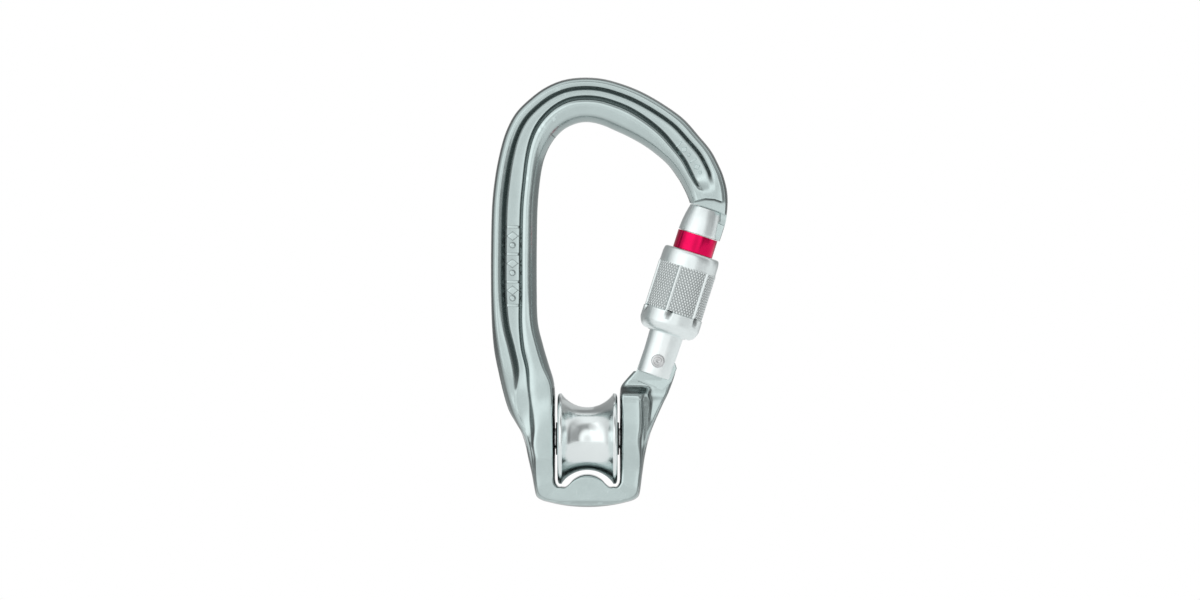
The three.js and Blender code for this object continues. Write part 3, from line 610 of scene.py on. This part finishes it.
def strand_corners(t):
    """The corners of the sections at the station numbers t, all round, and how much painted shade they get.
    """
    outer = smooth_through([s[:2] for s in STATIONS], t)
    inner = smooth_through([s[2:4] for s in STATIONS], t)
    rails = smooth_through([s[4] for s in STATIONS], t)
    across, height = rails[:, :, 0:1], rails[:, :, 1:2]
    flat = outer[:, None, :] * (1 - across) + inner[:, None, :] * across
    front = np.concatenate([flat[:, :, 0:1], -height, flat[:, :, 1:2]], axis=2)
    back = front[:, -2:0:-1] * (1, -1, 1)
    return np.concatenate([front, back], axis=1), shaded_stretches(rails, inner)


def curve_steps(count):
    """Even steps along a corner's curve, shaped to multiply arrays of points."""
    return ((np.arange(count) + 0.5) / count)[None, None, :, None]


def rounded_corners(corners, w):
    """Each corner of each section as a short curve, rounded as ROUNDNESS says."""
    soft = np.array(ROUNDNESS + ROUNDNESS[-2:0:-1])[None, :, None]
    start = corners + (np.roll(corners, 1, axis=1) - corners) * soft
    end = corners + (np.roll(corners, -1, axis=1) - corners) * soft
    start, middle, end = start[:, :, None], corners[:, :, None], end[:, :, None]
    return (1 - w) ** 2 * start + 2 * w * (1 - w) * middle + w ** 2 * end


def strand(name, spacing=0.5, corner_steps=5):
    """The body as one sweep through all its stations."""
    t = even_steps(spacing)
    corners, shade_mask = strand_corners(t)
    w = curve_steps(corner_steps)
    # Painted shade is blended round each corner, and added where the strand falls steeply along its length.
    before, after = np.roll(shade_mask, 1, axis=1)[:, :, None], shade_mask[:, :, None]
    painted_shade = before + (after - before) * w[..., 0] ** 2 * (3 - 2 * w[..., 0])
    painted_shade = np.maximum(painted_shade, shaded_slopes(corners)[:, :, None])
    rows, size = len(t), corners.shape[1] * corner_steps
    verts = rounded_corners(corners, w).reshape(rows * size, 3)
    faces = grid_faces(rows, size, rows_close=False)
    faces += [list(range(size)), list(range((rows - 1) * size, rows * size))]
    return make_object(name, verts, faces, sharp=math.radians(60), painted_shade=painted_shade.ravel())


def lug_outline():
    """The lug in the gate's slot, in the gate's axes, with the cam that lifts the plunger on top."""
    cam = []
    for angle in np.linspace(CAM["first"], CAM["last"], 30):
        radius = CAM["radius"] + max(0.0, CAM["rise"] * angle)
        cam.append((-radius * math.sin(angle), radius * math.cos(angle)))
    return [(3.8, -8.2), (5.4, -4.5), (5.8, -0.4)] + cam + [(-4.8, 1.6), (-4.9, -3.2), (-5, -7)]


def key_on_nose(body):
    """The key that fills the slot in the gate's tip: a wide head under a narrow waist."""
    head = sector("key_head", KEY["low"], KEY["waist"], KEY["reach"], KEY["end"], KEY["half_width"],
                  KEY["edge"])
    neck = sector("key_neck", KEY["waist"] - 0.5, NOSE_RADIUS + 1, KEY["reach"], KEY["end"], KEY["neck"])
    return combine(combine(head, neck, "UNION"), copy_of(body, "body_copy"), "INTERSECT")


def nose_cutter(side):
    """The tool that faces one side of the nose. The fillet it leaves round the face gets painted shade."""
    tool, fillet = NOSE_FACE["tool"], NOSE_FACE["fillet"]
    place = Matrix.Translation((0, side * (NOSE_FACE["height"] + tool) * MM, 0))
    cutter = plate("nose_cut", NOSE_CUT, tool, place, fillet)
    # Painted shade on the fillet that the cut leaves in the body.
    set_painted_shade(cutter.data, [float(abs(v.co.y) < (tool - 0.05) * MM) for v in cutter.data.vertices])
    return cutter


def forged_body():
    body = strand("body_forging")
    key = key_on_nose(body)
    room = sector("tip_room", TIP_ROOM["inside"], GATE["tip"] + SEAM, TIP_ROOM["start"], TIP_ROOM["end"],
                  THROUGH["nose"])
    combine(body, room, "DIFFERENCE")
    combine(body, key, "UNION")
    combine(body, nose_cutter(-1), "DIFFERENCE")
    combine(body, nose_cutter(1), "DIFFERENCE")
    combine(body, plate("lug", lug_outline(), TONGUE, GATE_FRAME, 0.3), "UNION")
    reach = THROUGH["arms"]
    combine(body, rod("axle_hole", AXLE_RADIUS + SEAT, -reach, reach, AXLE_FRAME), "DIFFERENCE")
    combine(body, rivet_drill(), "DIFFERENCE")
    return piece(body, "body", FORGED, "frame")


def rivet_drill():
    return rod("rivet_hole", RIVET_RADIUS + SEAT, -THROUGH["rivet"], THROUGH["rivet"], RIVET_FRAME)


def merged(name, parts):
    """One object from several that keep their places."""
    work = bmesh.new()
    for part in parts:
        part.data.transform(part.matrix_world)
        work.from_mesh(part.data)
        bpy.data.objects.remove(part)
    mesh = bpy.data.meshes.new(name)
    work.to_mesh(mesh)
    work.free()
    return linked(name, mesh, WORLD, SHARP)


def floor_place(station, across):
    """A spot on the front of the body: a station number, and a fraction of the way across it."""
    t = np.array([station - 0.01, station + 0.01])
    outer = smooth_through([s[:2] for s in STATIONS], t)
    inner = smooth_through([s[2:4] for s in STATIONS], t)
    rails = smooth_through([s[4] for s in STATIONS], t)[0]
    height = np.interp(across, rails[:, 0], rails[:, 1])
    x, z = outer[0] * (1 - across) + inner[0] * across
    way = (outer[1] - outer[0]) * (1 - across) + (inner[1] - inner[0]) * across
    turn = Matrix.Rotation(math.atan2(way[0], way[1]), 4, "Y")
    return Matrix.Translation(Vector((x, -height, z)) * MM) @ turn


MARK_SHAPES = {
    "bar": [(-1, -0.24), (1, -0.24), (1, 0.24), (-1, 0.24)],
    "lozenge": [(-0.95, 0), (0, -0.75), (0.95, 0), (0, 0.75)],
    "pip": [(0.42 * math.cos(a), 0.42 * math.sin(a)) for a in np.arange(20) * TAU / 20],
}
MARK = dict(rise=0.4, half_depth=0.7, edge=0.09, top=0.12, flare=0.36, across=0.47)

# The two rows of marks: where they start and how far apart they are, in station numbers.
SPINE_MARKS = dict(start=21.5, step=0.215, count=10, size=1.35)
SHOULDER_MARKS = dict(start=7.1, step=-0.42, count=6, size=1.0)


def raised_mark(kind, place, size):
    """A low pad on the groove floor. Its foot gets painted shade and stands out past its top."""
    depth = MARK["half_depth"]
    outline = [(x * size, z * size) for x, z in MARK_SHAPES[kind]]
    sunk = place @ Matrix.Translation(Vector((0, depth - MARK["rise"], 0)) * MM)
    mark = plate(f"mark_{kind}", outline, depth, sunk, MARK["edge"] * size)
    # The foot's points flare out and get painted shade.
    foot = [float(v.co.y > (MARK["top"] - depth) * MM) for v in mark.data.vertices]
    for vertex, low in zip(mark.data.vertices, foot):
        out = Vector((vertex.co.x, 0, vertex.co.z))
        vertex.co += out.normalized() * low * MARK["flare"] * MM
    set_painted_shade(mark.data, foot)
    return mark


def groove_marks():
    """Plain raised marks along the groove floor, in two rows."""
    kinds = list(MARK_SHAPES)
    marks = []
    for row in (SPINE_MARKS, SHOULDER_MARKS):
        for k in range(row["count"]):
            place = floor_place(row["start"] + k * row["step"], MARK["across"])
            marks.append(raised_mark(kinds[k % len(kinds)], place, row["size"]))
    return piece(merged("groove_marks", marks), "body", FORGED)


def sheave_axle():
    """The axle runs through both arms and is dressed flush with their outer sides."""
    reach, middle = THROUGH["arms"], FORK_HALF_GAP + 0.5
    pin = rod("axle_pin", AXLE_RADIUS + SEAT - PIN_GAP, -reach, reach, AXLE_FRAME)
    pin = combine(pin, strand("axle_trim", 1.0, 3), "INTERSECT")
    combine(pin, rod("axle_middle", AXLE_RADIUS, -middle, middle, AXLE_FRAME), "UNION")
    return piece(pin, "body", STEEL, "sheave_axle")


# ------------------------------------------------------------------ the sheave and its bearings

def groove_radius(x):
    depth = SHEAVE["radius"] - SHEAVE["root"]
    arc_radius = (SHEAVE["groove_half_width"] ** 2 + depth ** 2) / (2 * depth)
    return SHEAVE["root"] + arc_radius - math.sqrt(arc_radius ** 2 - x ** 2)


def sheave_wheel():
    """The rope groove is one arc from lip to lip; the sides are dished round the bearings."""
    reach, side = SHEAVE["groove_half_width"], SHEAVE["half_width"]
    dished = side - SHEAVE["dish"]
    bore = BEARING["outside"] + RUNNING
    land = BEARING["face"] - BEARING["width"] - RUNNING
    groove = [(groove_radius(x), x) for x in np.linspace(-reach, reach, 49)]
    groove[0] = (*groove[0], 0.25)
    groove[-1] = (*groove[-1], 0.25)
    half = [(SHEAVE["radius"] - 0.05, side - 0.35, 0.4), (SHEAVE["radius"] - 0.9, side, 0.5),
            (SHEAVE["dish_outside"], side, 0.3), (SHEAVE["dish_inside"], dished, 0.3),
            (bore + 0.25, dished, 0.15), (bore, side - 0.6, 0.15), (bore, land, 0.1), (bore - 0.8, land, 0.1)]
    other = [(r, -x, *rest) for r, x, *rest in reversed(half)]
    corners = groove[24:] + half + other + groove[:25]
    wheel = turned("sheave_wheel", corners, AXLE_FRAME, 192, closed=True)
    return piece(wheel, "sheave", POLISHED, "sheave")


def bearing_rings(name, place):
    """The two rings, each with a track for the balls in the face that it turns to them."""
    half, bore, outside = BEARING["width"] / 2, BEARING["bore"], BEARING["outside"]
    lip = TRACK[0][1]
    inner = [(bore, 0), (bore, -half, 0.15), (INNER_TRACK + lip, -half, 0.1)]
    inner += [(INNER_TRACK + rise, -x, 0.1) for x, rise in TRACK]
    inner += [(INNER_TRACK + lip, half, 0.1), (bore, half, 0.15), (bore, 0)]
    outer = [(outside, 0), (outside, half, 0.2), (OUTER_TRACK - lip, half, 0.1)]
    outer += [(OUTER_TRACK - rise, x, 0.1) for x, rise in TRACK]
    outer += [(OUTER_TRACK - lip, -half, 0.1), (outside, -half, 0.2), (outside, 0)]
    piece(turned(f"inner_ring_{name}", inner, place, 96, closed=True),
          "body", BALL_STEEL, f"bearing_inner_ring_{name}")
    piece(turned(f"outer_ring_{name}", outer, place, 96, closed=True),
          "sheave", BALL_STEEL, f"bearing_outer_ring_{name}")


def bearing_seal(name, where, low, place):
    """A thin ring, dished between its two lips on both faces."""
    r0, r1 = INNER_TRACK + SEAL["gap"], OUTER_TRACK - SEAL["gap"]
    middle, high, dish = low + SEAL["width"] / 2, low + SEAL["width"], SEAL["dish"]
    face = [(r0, 0, 0.08), (r0 + 0.35, 0, 0.1), (r0 + 0.5, dish, 0.1), (r1 - 0.4, dish, 0.1),
            (r1 - 0.25, 0, 0.1), (r1, 0, 0.08)]
    lower = [(r, low + step, edge) for r, step, edge in face]
    upper = [(r, high - step, edge) for r, step, edge in reversed(face)]
    ends = [(r0, middle)]
    return piece(turned(f"seal_{name}_{where}", ends + lower + upper + ends, place, 96, closed=True),
                 "sheave", RUBBER, f"bearing_seal_{name}_{where}")


def ball_and_pocket(name, i, place, cage):
    """One ball, and the pocket for it in the cage."""
    pitch, ball = BEARING["pitch"], BEARING["ball"]
    turn = place @ Matrix.Rotation(TAU * i / BEARING["balls"], 4, "Z")
    outwards = turn @ Matrix.Rotation(math.pi / 2, 4, "Y")
    combine(cage, rod("pocket", ball + RUNNING, 3, 7, outwards, segments=32), "DIFFERENCE")
    side = [(ball * math.cos(a), ball * math.sin(a)) for a in np.linspace(-1.45, 1.45, 15)]
    spot = turn @ Matrix.Translation((pitch * MM, 0, 0))
    return piece(turned(f"steel_ball_{name}_{i + 1}", [(0, -ball)] + side + [(0, ball)], spot, 28),
                 f"cage_{name}", BALL_STEEL, f"ball_{name}_{i + 1}")


def bearing(side):
    """One sealed ball bearing. side is -1 or 1 along X."""
    name = "left" if side < 0 else "right"
    half = BEARING["width"] / 2
    place = AXLE_FRAME @ Matrix.Translation((0, 0, side * (BEARING["face"] - half) * MM))
    bearing_rings(name, place)
    for where, low in (("outer", half - SEAL["inset"] - SEAL["width"]), ("inner", SEAL["inset"] - half)):
        low = low if side > 0 else -low - SEAL["width"]
        bearing_seal(name, where, low, place)
    pitch, wall = BEARING["pitch"], CAGE["half_thickness"]
    cage = ring(f"cage_{name}", pitch - wall, pitch + wall, -CAGE["half_width"], CAGE["half_width"],
                place, 0.08, 112)
    for i in range(BEARING["balls"]):
        ball_and_pocket(name, i, place, cage)
    piece(cage, f"cage_{name}", BRONZE, f"bearing_cage_{name}")


def washers_and_spacer():
    for side, name in ((-1, "left"), (1, "right")):
        low, high = sorted((side * WASHER["inner"], side * WASHER["outer"]))
        washer = ring(f"washer_{name}", AXLE_RADIUS + RUNNING, WASHER["outside"], low, high, AXLE_FRAME, 0.12)
        piece(washer, "body", POLYMER, f"thrust_washer_{name}")
    half = BEARING["face"] - BEARING["width"] - RUNNING
    spacer = ring("spacer_tube", BEARING["bore"], SPACER_OUTSIDE, -half, half, AXLE_FRAME, 0.15)
    piece(spacer, "body", STEEL, "bearing_spacer")


# ------------------------------------------------------------------ the gate

def tube_profile():
    """Foot, shank, seat of the red band, shoulder and a tip that is part of a ball about the pivot."""
    g = GATE
    seat = g["band_radius"] - 0.8
    rise = math.sqrt(g["tip"] ** 2 - g["tip_radius"] ** 2)
    dome = [(r, math.sqrt(g["tip"] ** 2 - r ** 2)) for r in np.linspace(g["tip_radius"] - 0.2, 0, 7)]
    return [
        (0, g["foot"]), (g["foot_radius"], g["foot"], 0.45), (g["foot_radius"], 0.0),
        (g["radius"], g["slot_top"]), (g["radius"], g["band_low"] - g["band_gap"], 0.1),
        (seat, g["band_low"] - g["band_gap"]), (seat, g["band_high"] + g["band_gap"]),
        (g["band_radius"], g["band_high"] + g["band_gap"], 0.12),
        (g["band_radius"] - 0.1, g["shoulder_low"], 0.8), (g["band_radius"] - 0.4, g["shoulder_high"], 1.2),
        (g["tip_radius"], rise, 0.15), *dome,
    ]


def key_room():
    """The two tools that cut the slot in the gate's tip, a little larger than the key."""
    across, end = KEY["reach"] - SEAT, KEY["end"]
    head = sector("head_room", KEY["low"] - SEAT, KEY["waist"] + SEAT, across, end, KEY["half_width"] + SEAT)
    neck = sector("neck_room", KEY["waist"] - 0.5, NOSE_RADIUS + 1, across, end, KEY["neck"] + SEAT)
    return head, neck


def gate_tube():
    g = GATE
    tube = turned("gate_tube", tube_profile(), GATE_FRAME, 160)
    reach, low = THROUGH["tube"], g["foot"] - 3
    slot = [(-reach, low), (reach, low), (reach, g["slot_top"]), (-reach, g["slot_top"])]
    scoop = [(HEEL[-1][0], low), (reach, low), (reach, HEEL[0][1])] + HEEL
    combine(tube, plate("slot", slot, SLOT, GATE_FRAME), "DIFFERENCE")
    combine(tube, plate("scoop", scoop, reach, GATE_FRAME), "DIFFERENCE")
    combine(tube, rod("bore", g["bore"], g["slot_top"] - 1, g["bore_top"], GATE_FRAME), "DIFFERENCE")
    combine(tube, rivet_drill(), "DIFFERENCE")
    for tool in key_room():
        combine(tube, tool, "DIFFERENCE")
    return piece(tube, "gate", FROSTED, "gate_body")


def indicator_band():
    g = GATE
    band = ring("red_band", g["band_radius"] - 0.5, g["band_radius"], g["band_low"], g["band_high"],
                GATE_FRAME, 0.1, 160)
    return piece(band, "gate", RED, "indicator_band")


def gate_rivet():
    """Shank with two domed heads, each with a centre punch mark inside a fine ring."""
    face = GATE["foot_radius"] + RUNNING
    head = [(RIVET_RADIUS, face, 0.05), (1.95, face, 0.08), (1.85, face + 0.28, 0.2),
            (1.3, face + 0.42, 0.1), (1.15, face + 0.34, 0.06), (1.0, face + 0.44, 0.1),
            (0.5, face + 0.48, 0.1), (0.0, face + 0.15)]
    other = [(r, -h, *rest) for r, h, *rest in reversed(head)]
    return piece(turned("rivet_pin", other + head, RIVET_FRAME, 64), "gate", STEEL, "gate_rivet")


def gate_plunger():
    p = PLUNGER
    low = CAM["radius"] + p["gap"]
    nose = [(p["nose"] * math.sin(a), low + p["nose"] * (1 - math.cos(a)))
            for a in np.linspace(0, TAU / 4, 10)]
    corners = nose + [(p["radius"], low + 2.1, 0.3), (p["radius"], p["collar"], 0.25),
                      (p["pin"], p["collar"], 0.1), (p["pin"], p["top"], 0.3), (0, p["top"])]
    pin = turned("plunger_pin", corners, GATE_FRAME, 48)
    return piece(pin, "plunger", STEEL, "gate_plunger")


def gate_spring():
    """A coil of round wire."""
    s = SPRING
    rows, sides = 36 * s["turns"], 10
    t = np.linspace(0, 1, rows)
    angle = TAU * s["turns"] * t
    height = s["low"] + (s["high"] - s["low"]) * t
    centre = np.stack([s["mean"] * np.cos(angle), s["mean"] * np.sin(angle), height], axis=1)
    out = np.stack([np.cos(angle), np.sin(angle), 0 * angle], axis=1)
    up = np.array([0.0, 0.0, 1.0])
    rings = []
    for a in TAU * np.arange(sides) / sides:
        rings.append(centre + s["wire"] * (math.cos(a) * out + math.sin(a) * up))
    verts = np.stack(rings, axis=1).reshape(-1, 3)
    faces = grid_faces(rows, sides, rows_close=False)
    faces += [list(range(sides)), list(range((rows - 1) * sides, rows * sides))]
    coil = make_object("coil_spring", verts, faces, GATE_FRAME)
    return piece(coil, "gate", WIRE, "gate_spring")


def saw(x):
    """0 at whole numbers, 1 half way between them."""
    return 1 - np.abs(2 * (x - np.floor(x)) - 1)


def sleeve_profile():
    """The sleeve's points (radius, height): under the knurl, along it, over it and inside."""
    s = SLEEVE
    valley = s["knurl_radius"] - 0.12
    collar = [(s["collar_radius"], z) for z in np.linspace(s["low"] + 3.5, s["collar"] - 0.3, 24)]
    under = rounded_profile([
        (s["bore"] + 0.3, s["low"]), (s["foot"], s["low"], 0.5),
        (s["collar_radius"] - 0.75, s["low"] + 0.85, 0.9), (s["collar_radius"], s["low"] + 2.6, 1.6),
        *collar, (valley, s["collar"] - 0.1)], steps=8)
    heights = np.linspace(s["collar"], s["knurl"], KNURL["rows"])
    along = np.stack([np.full_like(heights, s["knurl_radius"]), heights], axis=1)
    over = rounded_profile([
        (valley, s["knurl"] + 0.12), (s["shoulder"] + 0.05, s["knurl"] + 0.35, 0.12),
        (s["shoulder"], s["high"] - 1.5, 1.2), (s["shoulder"] - 0.25, s["high"] - 0.35, 0.5),
        (s["mouth"], s["high"], 0.3), (s["counterbore"], s["high"] - 0.35)], steps=8)
    inside = np.array([(s["counterbore"], s["step"]), (s["bore"], s["step"]), (s["bore"], s["low"] + 0.3)])
    return under, along, over, inside


def knurl_relief(angle, height):
    """The diamonds of the knurl: 0 along the crossing grooves, up to 1 in the middle of a diamond."""
    turn = height * (math.tan(KNURL["lean"]) / SLEEVE["knurl_radius"])
    u = KNURL["starts"] * (angle + turn) / TAU
    v = KNURL["starts"] * (angle - turn) / TAU
    return np.minimum(saw(u), saw(v))


def beside_ridge(angle):
    """How far round the sleeve each angle is from the nearest ridge, in mm."""
    spacing = TAU / RIDGES["count"]
    turn = angle - RIDGES["first"]
    return ((turn + spacing / 2) % spacing - spacing / 2) * SLEEVE["knurl_radius"]


def notch_depth(beside, height):
    """How deep the ramp beside each ridge is cut into the collar."""
    collar = SLEEVE["collar"]
    wedge = NOTCH["steepness"] * share(1 - np.abs(beside - NOTCH["middle"]) / NOTCH["half_width"], 0, 1)
    ramp = share(height, collar - NOTCH["length"], collar)
    return NOTCH["depth"] * np.minimum(1, wedge) * ramp * (height < collar + 0.05)


def ridge_crest(off):
    """The radius of the ridges' flat crests and falling sides, by distance from their middle."""
    fall = RIDGES["fall"] * np.maximum(0, off - RIDGES["flat"])
    return SLEEVE["knurl_radius"] + RIDGES["height"] - fall


def raise_ridges(radius, height, off):
    """Raises the ridges over the knurl."""
    low, high = SLEEVE["collar"] - RIDGES["below"], SLEEVE["knurl"] + RIDGES["above"]
    along = (height > low) & (height < high) & (radius > SLEEVE["mouth"])
    return np.where(along, np.maximum(radius, ridge_crest(off)), radius)


def run_out_ridges(radius, height, off, outside):
    """Lets the ridges fade into the collar below the knurl."""
    below = SLEEVE["collar"] - height
    crown = (below > 0) & (below < RIDGES["run_out"]) & outside
    faded = ridge_crest(off) - RIDGES["drop"] * below / RIDGES["run_out"]
    return np.where(crown, np.maximum(radius, faded), radius)


def lock_sleeve():
    """The sleeve is one grid, so the knurl, the ridges and their notches are real relief."""
    under, along, over, inside = sleeve_profile()
    profile = np.concatenate([under, along, over, inside])
    rows = len(profile)
    knurled = slice(len(under), len(under) + len(along))
    outside = (np.arange(rows) < len(under) + 2)[None, :]
    angle = (np.arange(SLEEVE_SEGMENTS) * TAU / SLEEVE_SEGMENTS)[:, None]
    radius = np.tile(profile[:, 0], (SLEEVE_SEGMENTS, 1))
    height = np.tile(profile[:, 1], (SLEEVE_SEGMENTS, 1))
    relief = knurl_relief(angle, height[:, knurled])
    radius[:, knurled] += KNURL["depth"] * (np.minimum(relief, KNURL["flat"]) - KNURL["flat"])
    beside = beside_ridge(angle)
    off = np.abs(beside)
    radius = raise_ridges(radius, height, off)
    notch = notch_depth(beside, height)
    radius = np.where(outside, radius - notch, radius)
    radius = run_out_ridges(radius, height, off, outside)
    # Painted shade in the knurl's valleys and in the notches beside the ridges, kept off the ridges
    # themselves.
    valley = np.zeros_like(radius)
    valley[:, knurled] = 0.75 * np.clip((0.62 - relief) / 0.35, 0, 1)
    shade_mask = np.where(off < 0.5, 0, np.maximum(valley, np.minimum(1, notch / 0.5)))
    verts = np.stack([radius * np.cos(angle), radius * np.sin(angle), height], axis=-1).reshape(-1, 3)
    sleeve = make_object("screw_sleeve", verts, grid_faces(SLEEVE_SEGMENTS, rows), GATE_FRAME,
                         math.radians(50), shade_mask.ravel())
    return piece(sleeve, "sleeve", FROSTED, "lock_sleeve")


def friction_ring():
    r = FRICTION_RING
    grip = ring("grip_ring", r["inside"], r["outside"], r["low"], r["high"], GATE_FRAME, 0.2)
    return piece(grip, "sleeve_carrier", POLYMER, "sleeve_friction_ring")


# ------------------------------------------------------------------ floor, light and camera

# What the metal reflects towards the right, left, top and bottom: angle from the front, brightness.
SURROUNDINGS = {
    ("X", 1.0): [(0, 0.88), (8, 0.92), (18, 1.2), (26, 1.1), (37, 0.18), (76, 0.2), (88, 0.9), (102, 0.9),
                 (112, 0.35), (163, 0.4), (168, 0.95)],
    ("X", -1.0): [(0, 0.88), (8, 0.92), (18, 1.25), (35, 1.35), (60, 1.25), (78, 0.65), (102, 0.65),
                  (112, 0.3), (163, 0.35), (168, 0.95)],
    ("Z", 1.0): [(0, 0.88), (8, 0.92), (18, 1.2), (30, 1.1), (40, 0.35), (54, 0.35), (62, 0.95),
                 (100, 1.0), (112, 0.25), (163, 0.4), (168, 0.95)],
    ("Z", -1.0): [(0, 0.88), (8, 0.92), (25, 1.1), (45, 0.6), (60, 0.8), (95, 0.8), (106, 0.15), (163, 0.35),
                  (168, 0.95)],
}


def brightness(n, angle, stops):
    """Brightness against the angle from straight in front, in degrees."""
    node = n.add("ShaderNodeValToRGB", {"Fac": n.math("DIVIDE", angle, math.pi)})
    points = node.color_ramp.elements
    while len(points) < len(stops):
        points.new(0.5)
    for point, (degrees, level) in zip(points, stops):
        point.position = degrees / 180
        point.color = (level / 2, level / 2, level / 2, 1)
    return n.math("MULTIPLY", node.outputs["Color"], 2.0)


def studio_world():
    """White behind the object, and in reflections a white room with dark gaps between its lights."""
    world = bpy.data.worlds.new("studio")
    bpy.context.scene.world = world
    world.use_nodes = True
    world.node_tree.nodes.clear()
    n = NodeTree(world.node_tree)
    way = n.add("ShaderNodeTexCoord").outputs["Generated"]
    way = n.add("ShaderNodeSeparateXYZ", {"Vector": way}).outputs
    angle = n.math("ARCCOSINE", n.math("MULTIPLY", way["Y"], -1.0))
    squares = {axis: n.math("MULTIPLY", way[axis], way[axis]) for axis in ("X", "Z")}
    total = n.math("ADD", n.math("ADD", squares["X"], squares["Z"]), 1e-6)
    glow = 0.0
    for (axis, sign), stops in SURROUNDINGS.items():
        here = n.math("GREATER_THAN", n.math("MULTIPLY", way[axis], sign), 0.0)
        part = n.math("MULTIPLY", here, n.math("DIVIDE", squares[axis], total))
        glow = n.math("ADD", glow, n.math("MULTIPLY", part, brightness(n, angle, stops)))
    seen = n.add("ShaderNodeLightPath").outputs["Is Camera Ray"]
    strength = n.add("ShaderNodeMix", {0: seen, 2: glow, 3: 1.0}, data_type="FLOAT").outputs[0]
    shader = n.add("ShaderNodeBackground", {"Color": (1, 1, 1, 1), "Strength": strength})
    n.add("ShaderNodeOutputWorld", {"Surface": shader.outputs[0]})


def area_light(name, place, target, size, power):
    light = bpy.data.lights.new(name, "AREA")
    light.shape = "RECTANGLE"
    light.size, light.size_y = size
    light.energy = power
    obj = linked(name, light)
    obj.location = place
    obj.rotation_euler = (Vector(target) - Vector(place)).to_track_quat("-Z", "Y").to_euler()
    obj.visible_camera = False


FLOOR = dict(drop=190, reach=1200)       # how far below the object, and to each side


def pale_floor():
    n = Nodes("pale_floor")
    tone = n.noise(0.004, 3.0)
    n.set(Base_Color=n.blend(tone, (0.80, 0.80, 0.80, 1), (0.86, 0.86, 0.86, 1)), Roughness=0.9,
          Emission_Color=(1, 1, 1, 1), Emission_Strength=0.28)
    low, reach = cad_low.z / MM - FLOOR["drop"], FLOOR["reach"]
    corners = [(-reach, -reach, low), (reach, -reach, low), (reach, reach, low), (-reach, reach, low)]
    floor = make_object("studio_floor", corners, [(0, 1, 2, 3)])
    floor.data.materials.append(n.material)


def camera():
    """Straight on from the front, far enough back that the object shows no perspective tilt."""
    frame_width, lens, sensor = 342.86, 200.0, 36.0
    aim = Vector((3.57, 0.0, -50.71))
    data = bpy.data.cameras.new("camera")
    data.lens, data.sensor_width = lens, sensor
    data.clip_start, data.clip_end = 0.05, 50
    obj = linked("camera", data)
    obj.location = (aim + Vector((0, -frame_width * lens / sensor, 0))) * MM
    obj.rotation_euler = (math.pi / 2, 0, 0)
    bpy.context.scene.camera = obj


def studio():
    studio_world()
    centre = (0.0, 0.0, -0.05)
    area_light("key", (-0.9, -1.5, 1.2), centre, (1.4, 1.4), 1.6)
    area_light("fill", (1.6, -1.2, 0.4), centre, (1.2, 1.6), 1.0)
    area_light("rim", (0.5, 1.7, 1.1), centre, (1.6, 1.2), 1.4)
    pale_floor()
    camera()
    bpy.context.scene.view_settings.view_transform = "Standard"


# ------------------------------------------------------------------ the assembly

forged_body()
groove_marks()
sheave_axle()
sheave_wheel()
bearing(-1)
bearing(1)
washers_and_spacer()
gate_tube()
indicator_band()
gate_rivet()
gate_plunger()
gate_spring()
lock_sleeve()
friction_ring()
studio()
